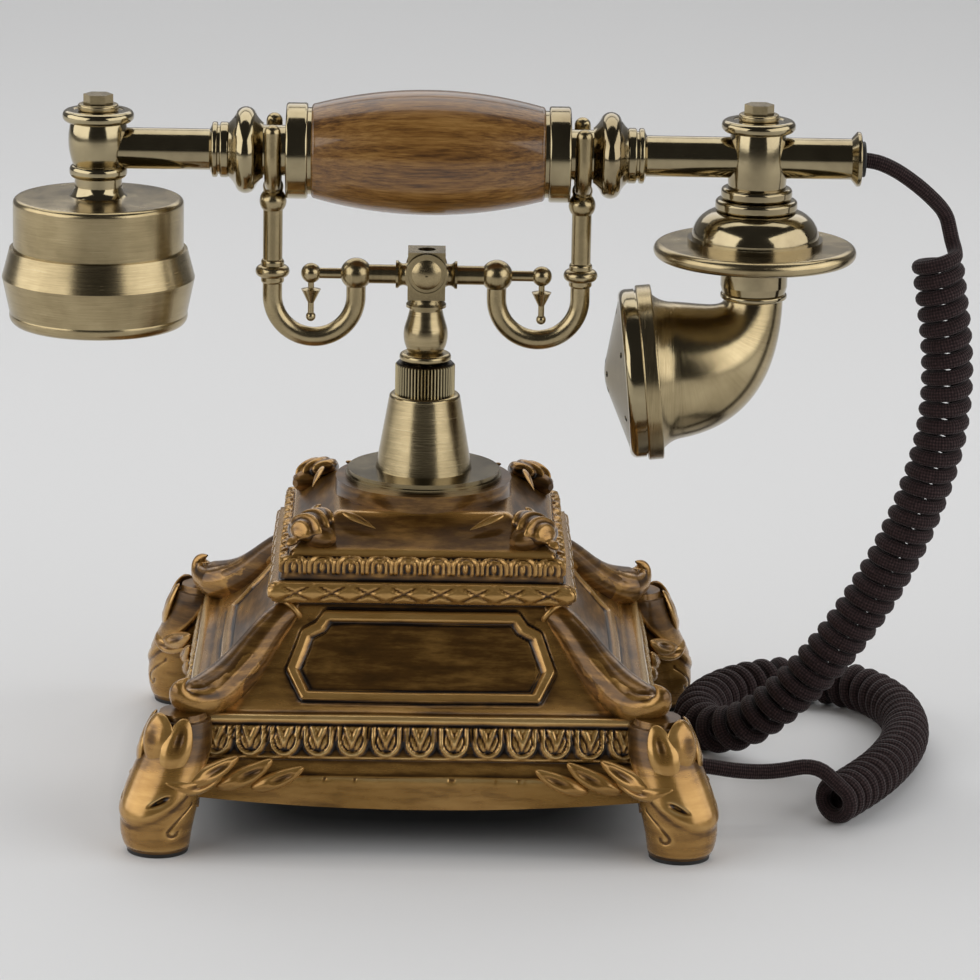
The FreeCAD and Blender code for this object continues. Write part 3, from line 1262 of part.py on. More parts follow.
def mouth_grille():
    seat = FRONT_AT - GRILLE_SEAT
    inner = GRILLE_RADIUS - GRILLE_THICK
    top = FRONT_AT + GRILLE_RISE
    nose_low = top - GRILLE_NOSE_HEIGHT
    body = turned([(inner, seat), (GRILLE_RADIUS, seat), (GRILLE_RADIUS, FRONT_AT),
                   (GRILLE_NOSE_RADIUS, nose_low),
                   cap(GRILLE_NOSE_RADIUS, GRILLE_NOSE_HEIGHT, nose_low), (0, top - GRILLE_THICK),
                   (inner, FRONT_AT - GRILLE_THICK / 2)])
    for radius, count in zip(GRILLE_RING_RADII, GRILLE_RING_HOLES):
        body = cut_all(body, [rod(GRILLE_HOLE_RADIUS, (x, y, seat), (x, y, FRONT_AT + GRILLE_RISE))
                              for x, y in around(radius, count)])
    return on_mouth(body)


def microphone():
    start = Vector(0, 0, RING_AT + MOUTH_WEB)
    return on_mouth(Part.makeCylinder(MICROPHONE_RADIUS, MICROPHONE_LENGTH, start))


def end_flange():
    """Flared end of the tube, with a plug inside the tube."""
    rim_at = TUBE_END + END_FLANGE_CONE
    end = rim_at + END_FLANGE_RIM
    bore = CORD_BUSH_SPIGOT + FIT
    return on_handset([(bore, TUBE_END - END_PLUG), (TIE_RADIUS, TUBE_END - END_PLUG), (TIE_RADIUS, TUBE_END),
                       (TUBE_RADIUS, TUBE_END), (END_FLANGE_RADIUS, rim_at)]
                      + rim(END_FLANGE_RADIUS, rim_at, end, END_FLANGE_RIM / 2)[2:] + [(bore, end)])


def cord_bush():
    """Soft bush with a flared mouth, in which the cord is seated."""
    rim_at = CORD_FACE - CORD_BUSH_RIM
    bore = CORD_RADIUS + FIT
    return on_handset([(0, CORD_START - CORD_SEAT_WALL), (CORD_BUSH_SPIGOT, CORD_START - CORD_SEAT_WALL),
                       (CORD_BUSH_SPIGOT, rim_at)]
                      + rim(CORD_BUSH_RADIUS, rim_at, CORD_FACE, CORD_BUSH_RIM / 3)
                      + [(CORD_MOUTH_RADIUS, CORD_FACE), (bore, CORD_FACE - CORD_MOUTH), (bore, CORD_START),
                         (0, CORD_START)])


# Curly cord

def spline(points):
    """Even quadratic spline that starts and ends at its outer points."""
    curve = Part.BSplineCurve()
    inner = len(points) - 3
    curve.buildFromPolesMultsKnots([vec(p) for p in points], [3] + [1] * inner + [3],
                                   [float(k) for k in range(inner + 2)], False, 2)
    return curve


def eased(points):
    """Straight runs joined by arcs, with the radii of the arcs."""
    edges, radii = [], []
    start = points[0]
    for k in range(1, len(points) - 1):
        before, after = points[k] - points[k - 1], points[k + 1] - points[k]
        reach = BEND_SHARE * min(before.Length, after.Length)
        half = before.getAngle(after) / 2
        before.normalize()
        after.normalize()
        inward = after - before
        inward.normalize()
        radius = reach / math.tan(half)
        first, last = points[k] - before * reach, points[k] + after * reach
        middle = points[k] + inward * (radius / math.cos(half) - radius)
        edges += [Part.makeLine(start, first), Part.Arc(first, middle, last).toShape()]
        radii.append(radius)
        start = last
    return edges + [Part.makeLine(start, points[-1])], radii


class Curls:
    """Wire wound about the centre line of the route, right-handed as it runs."""

    def __init__(self):
        curve = spline(CURL_ROUTE)
        self.count = int(curve.length() / STATION)
        self.step = curve.length() / self.count
        marks = [curve.parameterAtDistance(self.step * k, curve.FirstParameter)
                 for k in range(self.count + 1)]
        self.centre = [curve.value(u) for u in marks]
        self.ahead = [curve.tangent(u)[0] for u in marks]
        self.radius = [self.radius_at(self.step * k) for k in range(self.count + 1)]
        self.side = self.carried_side()
        self.phase = self.phases(self.even_pitch([curve.curvature(u) for u in marks]))

    def radius_at(self, distance):
        landed = min(1.0, max(0.0, (distance - HANG_LENGTH) / LANDING))
        return HANG_RADIUS + (TABLE_RADIUS - HANG_RADIUS) * landed

    def carried_side(self):
        """Direction square to the centre line, carried along without twist."""
        sides, side = [], RIGHT
        for ahead in self.ahead:
            side = side - ahead * side.dot(ahead)
            side.normalize()
            sides.append(Vector(side))
        return sides

    def even_pitch(self, curvature):
        """Pitch that keeps the turns apart on the inside of each bend, smoothed along the line."""
        reach = int(SMOOTHING / self.step)
        tight = [(CORD_DIA + CURL_GAP) / (CURL_SLOPE * (1 - self.radius[k] * curvature[k]))
                 for k in range(self.count + 1)]
        widest = [max(tight[max(0, k - reach):k + reach + 1]) for k in range(self.count + 1)]
        windows = [widest[max(0, k - reach):k + reach + 1] for k in range(self.count + 1)]
        return [sum(window) / len(window) for window in windows]

    def angle_of(self, k, across):
        """Phase at which the wire stands on the given side of the centre line."""
        other = self.ahead[k].cross(self.side[k])
        return math.atan2(across.dot(other), across.dot(self.side[k]))

    def phases(self, pitch):
        """Turned angle along the line: a bend from the tail into the first turn, then steady turns."""
        slope = 2 * math.pi * self.radius[0] / pitch[0]
        bend = FIRST_CURL_BEND * slope / math.hypot(1, slope)
        first = math.radians(FIRST_CURL_DEG)
        start = self.angle_of(0, Vector(math.cos(first), math.sin(first), 0))
        last = math.radians(LAST_CURL_DEG)
        target = self.angle_of(self.count, Vector(math.cos(last), 0, math.sin(last)))
        self.bend = bend
        entry, steady = [], [0.0]
        for k in range(self.count + 1):
            distance = min(self.step * k, bend)
            entry.append((FIRST_CURL_BEND - math.sqrt(FIRST_CURL_BEND ** 2 - distance ** 2)) / self.radius[0])
            if k > 0:
                share = min(1.0, max(0.0, (self.step * k - bend) / self.step))
                steady.append(steady[-1] + share * 2 * math.pi * self.step / pitch[k])
        whole = round((steady[-1] + start + entry[-1] - target) / (2 * math.pi))
        even = (2 * math.pi * whole + target - start - entry[-1]) / steady[-1]
        return [start + entry[k] + even * steady[k] for k in range(self.count + 1)]

    def place(self, distance):
        """Point of the wire beside a distance along the centre line."""
        k = min(int(distance / self.step), self.count - 1)
        share = distance / self.step - k
        if distance < self.bend:
            arc_part = (FIRST_CURL_BEND - math.sqrt(FIRST_CURL_BEND ** 2 - distance ** 2)) / self.radius[0]
            phase = self.phase[0] + arc_part
        else:
            phase = self.phase[k] + share * (self.phase[k + 1] - self.phase[k])
        ahead = self.ahead[k] * (1 - share) + self.ahead[k + 1] * share
        ahead.normalize()
        side = self.side[k] * (1 - share) + self.side[k + 1] * share
        side = side - ahead * side.dot(ahead)
        side.normalize()
        out = side * math.cos(phase) + ahead.cross(side) * math.sin(phase)
        centre = self.centre[k] * (1 - share) + self.centre[k + 1] * share
        return centre + out * (self.radius[k] * (1 - share) + self.radius[k + 1] * share)

    def marks(self):
        """Distances of the joints: a few in the first bend, then one every half turn."""
        early = [self.bend * math.sin(math.pi / 2 * k / FIRST_CURL_STEPS) for k in range(FIRST_CURL_STEPS)]
        first = bisect.bisect_right([self.step * k for k in range(self.count + 1)], self.bend)
        begin = self.phase[first]
        halves = math.ceil((self.phase[-1] - begin) / math.pi)
        wanted = [begin + (self.phase[-1] - begin) * k / halves for k in range(halves + 1)]
        late = []
        for phase in wanted:
            k = min(max(bisect.bisect_right(self.phase, phase) - 1, 0), self.count - 1)
            late.append(self.step * (k + (phase - self.phase[k]) / (self.phase[k + 1] - self.phase[k])))
        return early + late


def least_gap(points):
    """Least gap of the cord to itself, on points along its axis."""
    cell = 2 * CORD_DIA
    boxes = {}
    travelled = [0.0]
    for k in range(1, len(points)):
        travelled.append(travelled[-1] + (points[k] - points[k - 1]).Length)
    for k, p in enumerate(points):
        boxes.setdefault((int(p.x // cell), int(p.y // cell), int(p.z // cell)), []).append(k)
    least = math.inf
    for (i, j, h), members in boxes.items():
        around_it = [(i + a, j + b, h + c) for a in (-1, 0, 1) for b in (-1, 0, 1) for c in (-1, 0, 1)]
        near = [n for box in around_it for n in boxes.get(box, [])]
        for k in members:
            for n in near:
                if travelled[n] - travelled[k] > 3 * CORD_DIA:
                    least = min(least, (points[k] - points[n]).Length)
    return least - CORD_DIA


def handset_cord():
    """Tail from the handset, curls down to and along the table, and tail to the gland."""
    curls = Curls()
    marks = curls.marks()
    wound, tightest, aheads = winding(curls.place, marks)
    entry, leave = curls.place(0), curls.place(marks[-1])
    seat = Vector(CORD_START, 0, HANDSET_Z)
    upper = [seat] + [seat + vec(p) for p in UPPER_TAIL] + [entry - aheads[0] * FIRST_TAIL_RUN, entry]
    gland = Vector(GLAND_FACE, GLAND_Y, GLAND_Z)
    lower = [leave, leave + aheads[-1] * SECOND_TAIL_RUN] + [vec(p) for p in LOWER_TAIL]
    lower += [gland + RIGHT * LAST_RUN, gland]
    upper_edges, upper_radii = eased(upper)
    lower_edges, lower_radii = eased(lower)
    path, cord = piped(upper_edges + wound + lower_edges, seat, RIGHT, CORD_DIA)
    turns = (curls.phase[-1] - curls.phase[0]) / (2 * math.pi)
    box = cord.BoundBox
    print("cord length", round(path.Length, 1), "turns", round(turns, 1), "arcs", len(wound))
    print("tail radii", [round(r, 1) for r in upper_radii + lower_radii], "tightest curl", round(tightest, 2))
    print("least gap", round(least_gap(path.discretize(Distance=1.0)), 2), "lowest", round(box.ZMin, 2))
    print("volume", round(cord.Volume, 1), "section times length",
          round(math.pi * CORD_RADIUS ** 2 * path.Length, 1))
    return cord


def cord_gland():
    """Soft gland in the right wall of the base, where the cord ends."""
    back = GLAND_SEAT - GLAND_DEPTH
    return turned([(0, back), (GLAND_RADIUS, back), (GLAND_RADIUS, GLAND_SEAT)]
                  + rim(GLAND_FLANGE_RADIUS, GLAND_SEAT, GLAND_FACE, GLAND_FLANGE / 3) + [(0, GLAND_FACE)],
                  (0, GLAND_Y, GLAND_Z), RIGHT)


# Works inside the base

def board_corners():
    across, along = BOARD_WIDTH / 2 - BOARD_INSET, BOARD_LENGTH / 2 - BOARD_INSET
    return [(BOARD_X + sx * across, BOARD_Y + sy * along) for sx, sy in corners(1)]


def bottom_plate():
    """Square plate with holes for its screws and the jack, and standoffs for the circuit board."""
    plate = block((2 * BOTTOM_HALF, 2 * BOTTOM_HALF, BOTTOM_THICK), (0, 0, PLATE_Z + BOTTOM_THICK / 2))
    plate = plate.multiFuse([rod(STANDOFF_RADIUS, (x, y, PLATE_Z), (x, y, BOARD_Z))
                             for x, y in board_corners()])
    holes = [Part.makeCylinder(SCREW_RADIUS + FIT, 2 * BOTTOM_THICK, Vector(x, y, PLATE_Z - BOTTOM_THICK / 2))
             for x, y in corners(POST_HALF)]
    width = JACK_WIDTH + 2 * PLAY
    return cut_all(plate, holes + [block((width, width, 2 * BOTTOM_THICK), (BOARD_X, JACK_Y, FLOOR_TOP))])


def line_jack():
    """Socket for the wall cord, open at the bottom of the base."""
    body = block((JACK_WIDTH, JACK_WIDTH, JACK_HEIGHT), (BOARD_X, JACK_Y, PLATE_Z + JACK_HEIGHT / 2))
    return body.cut(block((SOCKET_WIDTH, SOCKET_LENGTH, 2 * SOCKET_DEPTH), (BOARD_X, JACK_Y, PLATE_Z)))


def circuit_board():
    board = block((BOARD_WIDTH, BOARD_LENGTH, BOARD_THICK), (BOARD_X, BOARD_Y, BOARD_Z + BOARD_THICK / 2))
    top = BOARD_Z + BOARD_THICK
    parts = [block((w, l, h), (BOARD_X, BOARD_Y + y, top + h / 2)) for w, l, h, y in PART_SIZES]
    return fused(board, *parts)


def gong():
    """Bell with its rim down, on a post through its top."""
    top = GONG_Z + GONG_HEIGHT
    low, crown = (GONG_RADIUS, GONG_Z), (GONG_RADIUS / 2, top)
    inner = (GONG_RADIUS - GONG_WALL, GONG_Z)
    inner_crown = (crown[0] - GONG_WALL / 2, top - GONG_WALL)
    hole = SCREW_RADIUS + FIT
    return turned([(hole, top - GONG_WALL), inner_crown, (sagged(inner, inner_crown, -2.0), inner), low,
                   (sagged(low, crown, -2.0), crown), (hole, top)])


def ringer_frame():
    """Plate with two gong posts, the pin of the clapper and the yoke of the coils."""
    high = FLOOR_TOP + FRAME_THICK
    plate = block((2 * FRAME_HALF, FRAME_BACK - FRAME_FRONT, FRAME_THICK),
                  (0, (FRAME_BACK + FRAME_FRONT) / 2, FLOOR_TOP + FRAME_THICK / 2))
    posts = [rod(GONG_POST_RADIUS, (side * GONG_X, GONG_Y, FLOOR_TOP), (side * GONG_X, GONG_Y, gong_seat()))
             for side in (-1, 1)]
    tube_low = CLAPPER_Z - CLAPPER_TUBE_HEIGHT / 2
    tube_high = CLAPPER_Z + CLAPPER_TUBE_HEIGHT / 2
    pin = [rod(CLAPPER_TUBE_RADIUS, (0, CLAPPER_Y, FLOOR_TOP), (0, CLAPPER_Y, tube_low - BODY_GAP)),
           rod(PIN_RADIUS, (0, CLAPPER_Y, FLOOR_TOP), (0, CLAPPER_Y, tube_high + 2 * BODY_GAP)),
           rod(PIN_HEAD_RADIUS, (0, CLAPPER_Y, tube_high + BODY_GAP),
               (0, CLAPPER_Y, tube_high + 4 * BODY_GAP))]
    yoke_y = coil_back() + YOKE_THICK / 2
    yoke_top = CLAPPER_Z + COIL_RADIUS
    yoke_size = (2 * (COIL_X + COIL_RADIUS), YOKE_THICK, yoke_top - FLOOR_TOP)
    yoke = block(yoke_size, (0, yoke_y, (yoke_top + FLOOR_TOP) / 2))
    body = plate.multiFuse(posts + pin + [yoke]).removeSplitter()
    return cut_all(body, [rod(SCREW_RADIUS + FIT, (side * GONG_X, GONG_Y, gong_seat() - SCREW_LENGTH),
                              (side * GONG_X, GONG_Y, high + GONG_HEIGHT + GONG_Z)) for side in (-1, 1)])


def gong_seat():
    return GONG_Z + GONG_HEIGHT - GONG_WALL


def coil_front():
    """Pole faces stand clear of the swinging armature."""
    swing = ARMATURE_LENGTH / 2 * math.sin(math.radians(CLAPPER_SWING_DEG))
    return CLAPPER_Y + CLAPPER_TUBE_RADIUS + ARMATURE_THICK + swing + 2 * BODY_GAP


def coil_back():
    return coil_front() + CORE_OUT + COIL_LENGTH


def ringer_coil(side):
    start = coil_front()
    core = rod(CORE_RADIUS, (side * COIL_X, start, CLAPPER_Z), (side * COIL_X, coil_back(), CLAPPER_Z))
    return fused(core, rod(COIL_RADIUS, (side * COIL_X, start + CORE_OUT, CLAPPER_Z),
                           (side * COIL_X, coil_back(), CLAPPER_Z)))


def clapper():
    """Arm with a ball between the gongs, a tube on the pin and an armature before the coils."""
    tube = rod(CLAPPER_TUBE_RADIUS, (0, CLAPPER_Y, CLAPPER_Z - CLAPPER_TUBE_HEIGHT / 2),
               (0, CLAPPER_Y, CLAPPER_Z + CLAPPER_TUBE_HEIGHT / 2))
    armature_y = CLAPPER_Y + CLAPPER_TUBE_RADIUS + ARMATURE_THICK / 2
    stub = (ARMATURE_THICK, CLAPPER_TUBE_RADIUS, ARMATURE_HEIGHT)
    armature = (ARMATURE_LENGTH, ARMATURE_THICK, ARMATURE_HEIGHT)
    body = fused(tube, ball(CLAPPER_BALL, (0, GONG_Y, CLAPPER_Z)),
                 rod(CLAPPER_ARM_RADIUS, (0, CLAPPER_Y, CLAPPER_Z), (0, GONG_Y, CLAPPER_Z)),
                 block(stub, (0, armature_y - CLAPPER_TUBE_RADIUS / 2, CLAPPER_Z)),
                 block(armature, (0, armature_y, CLAPPER_Z)))
    return body.cut(rod(PIN_RADIUS + FIT, (0, CLAPPER_Y, 0), (0, CLAPPER_Y, 2 * CLAPPER_Z)))


def bottom_screws():
    return [screw((x, y, PLATE_Z), UP) for x, y in corners(POST_HALF)]


def inner_screws():
    """Screws of the switch bracket and of the gongs."""
    ears = [screw((x, 0, ROOF_UNDER - BRACKET_THICK), UP) for x in ear_screws()]
    gongs = [screw((side * GONG_X, GONG_Y, GONG_Z + GONG_HEIGHT), UP * -1) for side in (-1, 1)]
    return ears + gongs


# Dial

def dial_screw_points():
    angles = [math.radians(a) for a in DIAL_SCREW_ANGLES]
    ring = CASE_RADIUS + DIAL_SCREW_OUT
    return [(ring * math.cos(a), ring * math.sin(a)) for a in angles]


def dial_case():
    """Cup behind the number plate, with the bearing of the shaft."""
    floor = CASE_WALL - CASE_DEPTH
    bore = SHAFT_RADIUS + FIT
    bearing = bore + BEARING_WALL
    wall = CASE_RADIUS - CASE_WALL
    return on_dial(turned([(bore, -CASE_DEPTH), (CASE_RADIUS, -CASE_DEPTH), (CASE_RADIUS, -PLATE_RECESS),
                           (wall, -PLATE_RECESS), (wall, floor), (bearing, floor), (bearing, -CASE_DEPTH / 4),
                           (bore, -CASE_DEPTH / 4)]))


def number_plate():
    hole = SHAFT_RADIUS + PLAY
    plate = turned([(hole, -PLATE_RECESS), (PLATE_RADIUS, -PLATE_RECESS), (PLATE_RADIUS, PLATE_FACE),
                    (hole, PLATE_FACE)])
    holes = [Part.makeCylinder(SCREW_RADIUS + FIT, PLATE_THICK, Vector(x, y, -PLATE_RECESS))
             for x, y in dial_screw_points()]
    return on_dial(cut_all(plate, holes))


def finger_stop():
    """Tab from the rim of the housing over the edge of the wheel."""
    tab_low = WHEEL_TOP + STOP_GAP
    tab_top = tab_low + STOP_THICK
    post_in = PLATE_RADIUS + PLAY
    post_out = HOUSING_RADIUS - PLAY
    side = -STOP_WIDTH / 2
    post = Part.makeBox(post_out - post_in, STOP_WIDTH, tab_top, Vector(post_in, side, 0))
    tab = Part.makeBox(post_out - STOP_REACH, STOP_WIDTH, STOP_THICK, Vector(STOP_REACH, side, tab_low))
    stop = fused(post, tab)
    stop.rotate(ORIGIN, UP, STOP_DEG)
    return on_dial(stop)


def dial_screws():
    """Headless screws that end flush with the number plate."""
    length = SCREW_LENGTH + PLATE_THICK
    return [on_dial(Part.makeCylinder(SCREW_RADIUS, length, Vector(x, y, PLATE_FACE - length)))
            for x, y in dial_screw_points()]


def finger_wheel():
    """Disc with a turned-down rim and the finger holes."""
    rim_low = PLATE_FACE + 2 * BODY_GAP
    inner = WHEEL_RADIUS - WHEEL_RIM
    hole = SHAFT_RADIUS
    wheel = turned([(hole, WHEEL_LOW), (inner, WHEEL_LOW), (inner, rim_low), (WHEEL_RADIUS, rim_low),
                    (WHEEL_RADIUS, WHEEL_TOP), (hole, WHEEL_TOP)])
    holes = around(HOLE_RING, HOLE_COUNT, FIRST_HOLE_DEG, HOLE_STEP_DEG)
    return on_dial(cut_all(wheel, [Part.makeCylinder(HOLE_RADIUS, WHEEL_THICK, Vector(x, y, WHEEL_LOW))
                                   for x, y in holes]))


def dial_shaft():
    """Shaft with a shoulder that carries the wheel just above the plate."""
    shoulder = SHAFT_RADIUS + BEARING_WALL
    above_plate = PLATE_FACE + BODY_GAP
    return on_dial(turned([(0, -CASE_DEPTH), (SHAFT_RADIUS, -CASE_DEPTH), (SHAFT_RADIUS, above_plate),
                           (shoulder, above_plate), (shoulder, WHEEL_LOW), (SHAFT_RADIUS, WHEEL_LOW),
                           (SHAFT_RADIUS, WHEEL_TOP), (0, WHEEL_TOP)]))


def dial_cap():
    top = WHEEL_TOP + CAP_HEIGHT
    return on_dial(turned([(0, WHEEL_TOP)] + rim(CAP_RADIUS, WHEEL_TOP, top, CAP_HEIGHT / 2) + [(0, top)]))


def at_column(shape, side):
    out = shape.copy()
    out.translate(RIGHT * (side * COLUMN_X))
    return out


def main():
    os.makedirs("parts", exist_ok=True)
    save("base_shell", base_shell())
    save("foot_pads", *foot_pads())
    save("bottom_plate", bottom_plate())
    save("bottom_screws", *bottom_screws())
    save("top_disc", top_disc())
    save("cone_sleeve", cone_sleeve())
    save("knurled_collar", knurled_collar())
    save("guide_bush", guide_bush())
    save("bush_nut", bush_nut())
    save("switch_bracket", switch_bracket())
    save("hook_switch", hook_switch())
    save("cradle_spring", cradle_spring())
    save("inner_screws", *inner_screws())
    save("circuit_board", circuit_board())
    save("line_jack", line_jack())
    save("ringer_frame", ringer_frame())
    save("ringer_coils", ringer_coil(-1), ringer_coil(1))
    bells = [gong(), gong()]
    bells[0].translate(Vector(-GONG_X, GONG_Y, 0))
    bells[1].translate(Vector(GONG_X, GONG_Y, 0))
    save("gongs", *bells)
    save("clapper", clapper())
    save("dial_case", dial_case())
    save("number_plate", number_plate())
    save("dial_screws", *dial_screws())
    save("finger_stop", finger_stop())
    save("finger_wheel", finger_wheel())
    save("dial_shaft", dial_shaft())
    save("dial_cap", dial_cap())
    save("cradle_stem", cradle_stem())
    save("stem_clip", stem_clip())
    save("cross_block", cross_block())
    save("right_arm", right_arm())
    save("left_arm", opposite(right_arm()))
    save("right_hook", right_hook())
    save("left_hook", opposite(right_hook()))
    save("drop_finials", opposite(drop_finial()), drop_finial())
    save("grip", grip())
    save("tie_tube", tie_tube())
    save("grip_collars", opposite(grip_collar()), grip_collar())
    save("right_knob", right_knob())
    save("left_knob", opposite(right_knob()))
    save("left_tube", opposite(tube_to(COLUMN_X + COLUMN_TUBE_PAST)))
    save("right_tube", tube_to(TUBE_END))
    save("ear_column", at_column(ear_column(), -1))
    save("mouth_column", at_column(mouth_column(), 1))
    save("column_bolts", at_column(column_bolt(), -1), at_column(column_bolt(), 1))
    save("ear_cup", at_column(ear_cup(), -1))
    save("ear_ring", at_column(ear_ring(), -1))
    save("earphone", at_column(earphone(), -1))
    save("mouth_dome", at_column(mouth_dome(), 1))
    save("guard_disc", at_column(guard_disc(), 1))
    save("horn_neck", at_column(horn_neck(), 1))
    save("horn", horn())
    save("horn_bell", horn_bell())
    save("mouth_ring", mouth_ring())
    save("mouth_bezel", mouth_bezel())
    save("mouth_grille", mouth_grille())
    save("microphone", microphone())
    save("end_flange", end_flange())
    save("cord_bush", cord_bush())
    save("cord_gland", cord_gland())
    save("handset_cord", handset_cord())


main()
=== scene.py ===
import bmesh
import bpy
import math
import numpy as np
from mathutils import Matrix


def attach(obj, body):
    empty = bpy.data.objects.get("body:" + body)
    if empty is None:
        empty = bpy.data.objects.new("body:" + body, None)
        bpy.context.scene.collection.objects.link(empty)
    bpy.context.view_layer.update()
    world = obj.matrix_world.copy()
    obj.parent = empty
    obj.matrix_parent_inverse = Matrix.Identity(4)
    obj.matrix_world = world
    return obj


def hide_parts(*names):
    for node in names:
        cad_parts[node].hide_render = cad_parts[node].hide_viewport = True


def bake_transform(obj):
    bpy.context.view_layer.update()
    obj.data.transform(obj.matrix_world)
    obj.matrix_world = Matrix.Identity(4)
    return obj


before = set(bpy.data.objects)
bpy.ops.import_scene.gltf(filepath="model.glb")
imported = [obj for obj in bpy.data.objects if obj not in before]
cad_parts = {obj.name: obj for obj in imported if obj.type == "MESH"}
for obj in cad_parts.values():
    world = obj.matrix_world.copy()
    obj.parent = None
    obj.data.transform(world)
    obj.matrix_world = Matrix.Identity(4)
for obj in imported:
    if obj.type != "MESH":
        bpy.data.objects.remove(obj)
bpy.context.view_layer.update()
MM = 0.001
# Worn height of what has no cast relief, and how near two points of a line are one, in millimetres
PLAIN_WORN, SAME_POINT = 0.5, 0.01

# Camera, worked out from the square base and the turned parts of the object
CAMERA_AT = (-0.00375, -1.4388, 0.45935)
CAMERA_YAW, CAMERA_PITCH, CAMERA_ROLL = -0.01634, 0.25247, 0.01862
CAMERA_LENS, CAMERA_SENSOR, CAMERA_REACH = 184.28, 36.0, 20.0


def make_camera():
    """The photograph's camera."""
    camera = bpy.data.objects.new("camera", bpy.data.cameras.new("camera"))
    camera.data.lens = CAMERA_LENS
    camera.data.sensor_width = CAMERA_SENSOR
    camera.data.clip_end = CAMERA_REACH
    turn = (Matrix.Rotation(CAMERA_YAW, 4, "Z") @ Matrix.Rotation(math.pi / 2 - CAMERA_PITCH, 4, "X")
            @ Matrix.Rotation(CAMERA_ROLL, 4, "Z"))
    camera.matrix_world = Matrix.Translation(CAMERA_AT) @ turn
    bpy.context.scene.collection.objects.link(camera)
    bpy.context.scene.camera = camera


# Surfaces

def grid_faces(rows, columns):
    """Quads of a grid of points, numbered row by row."""
    r, c = np.meshgrid(np.arange(rows - 1), np.arange(columns - 1), indexing="ij")
    first = r * columns + c
    return np.stack([first, first + 1, first + columns + 1, first + columns], axis=-1).reshape(-1, 4)


def piece(name, body, finish, patches, closed=False):
    """Mesh of grids of points in millimetres. A patch is (points, worn, uv). Wear_and_light is the rubbed
    height of a cast surface, from 0 in a hollow to 1 on a ridge, with painted light and shade added on some
    parts.
    Seams and poles are joined, and a closed piece gets its faces turned outwards."""
    points, quads, worn, uv, start = [], [], [], [], 0
    for grid, height, place in patches:
        rows, columns = grid.shape[:2]
        points.append(grid.reshape(-1, 3))
        quads.append(grid_faces(rows, columns) + start)
        worn.append(np.broadcast_to(height, (rows, columns)).reshape(-1))
        uv.append(np.zeros((rows * columns, 2)) if place is None else place.reshape(-1, 2))
        start += rows * columns
    points, quads = np.concatenate(points) * MM, np.concatenate(quads)
    mesh = bpy.data.meshes.new(name)
    mesh.vertices.add(len(points))
    mesh.vertices.foreach_set("co", points.ravel())
    mesh.loops.add(quads.size)
    mesh.loops.foreach_set("vertex_index", quads.ravel())
    mesh.polygons.add(len(quads))
    mesh.polygons.foreach_set("loop_start", np.arange(0, quads.size, 4))
    mesh.update(calc_edges=True)
    mesh.attributes.new("worn", "FLOAT", "POINT").data.foreach_set("value", np.concatenate(worn))
    mesh.uv_layers.new(name="run").data.foreach_set("uv", np.concatenate(uv)[quads.ravel()].ravel())
    shape = bmesh.new()
    shape.from_mesh(mesh)
    bmesh.ops.remove_doubles(shape, verts=shape.verts, dist=1e-7)
    bmesh.ops.dissolve_degenerate(shape, edges=shape.edges, dist=1e-8)
    if closed:
        bmesh.ops.recalc_face_normals(shape, faces=shape.faces)
    shape.to_mesh(mesh)
    shape.free()
    mesh.polygons.foreach_set("use_smooth", np.ones(len(mesh.polygons), bool))
    mesh.materials.append(finish)
    made = bpy.data.objects.new(name, mesh)
    bpy.context.scene.collection.objects.link(made)
    if body is not None:
        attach(made, body)
    return made


def smooth_step(low, high, x):
    """0 below low, 1 above high, and an even cubic between them."""
    part = np.clip((x - low) / (high - low), 0, 1)
    return part * part * (3 - 2 * part)


def quarter(points, turns):
    """Points turned about the upright axis by quarter turns."""
    for _ in range(turns % 4):
        points = np.stack([-points[..., 1], points[..., 0], points[..., 2]], axis=-1)
    return points


# Lines

def spline_points(points, resolution):
    """Points, in order, of the quadratic spline that Blender lays through control points."""
    curve = bpy.data.curves.new("line", "CURVE")
    curve.dimensions = "3D"
    spline = curve.splines.new("NURBS")
    spline.points.add(len(points) - 1)
    spline.points.foreach_set("co", np.hstack([points, np.ones((len(points), 1))]).ravel())
    spline.order_u = 3
    spline.use_endpoint_u = True
    spline.resolution_u = resolution
    curve.resolution_u = resolution
    holder = bpy.data.objects.new("line", curve)
    mesh = bpy.data.meshes.new_from_object(holder)
    found = np.zeros(len(mesh.vertices) * 3)
    mesh.vertices.foreach_get("co", found)
    bpy.data.objects.remove(holder)
    bpy.data.curves.remove(curve)
    bpy.data.meshes.remove(mesh)
    return found.reshape(-1, 3)


def distances(line):
    """Distance of each point along its line."""
    return np.concatenate([[0], np.cumsum(np.linalg.norm(np.diff(line, axis=0), axis=1))])


def at_distances(line, where):
    """Points of a line at distances along it."""
    along = distances(line)
    return np.stack([np.interp(where, along, part) for part in line.T], axis=-1)


def unit(vectors):
    """The same directions, one long."""
    return vectors / np.linalg.norm(vectors, axis=-1, keepdims=True)


def carried_sides(ahead, first):
    """Directions square to a line, carried along it without twist from a first one."""
    sides, side = [], np.array(first, float)
    for direction in ahead:
        side = side - direction * side.dot(direction)
        side = side / np.linalg.norm(side)
        sides.append(side)
    return np.array(sides)


# Handset cord, on the route of the part's source: where it starts in the handset and comes out of it
CORD_DIA, CORD_START, CORD_FACE, HANDSET_Z = 4.5, 121.9, 127.4, 189.3
# Its curls: gap between two, cosine of their slope, radius while they hang and on the table, and the length
# after which they come down from one to the other
CURL_GAP, CURL_SLOPE, HANG_RADIUS, TABLE_RADIUS, HANG_LENGTH, LANDING = 0.15, 0.985, 5.5, 5.0, 120.0, 60.0
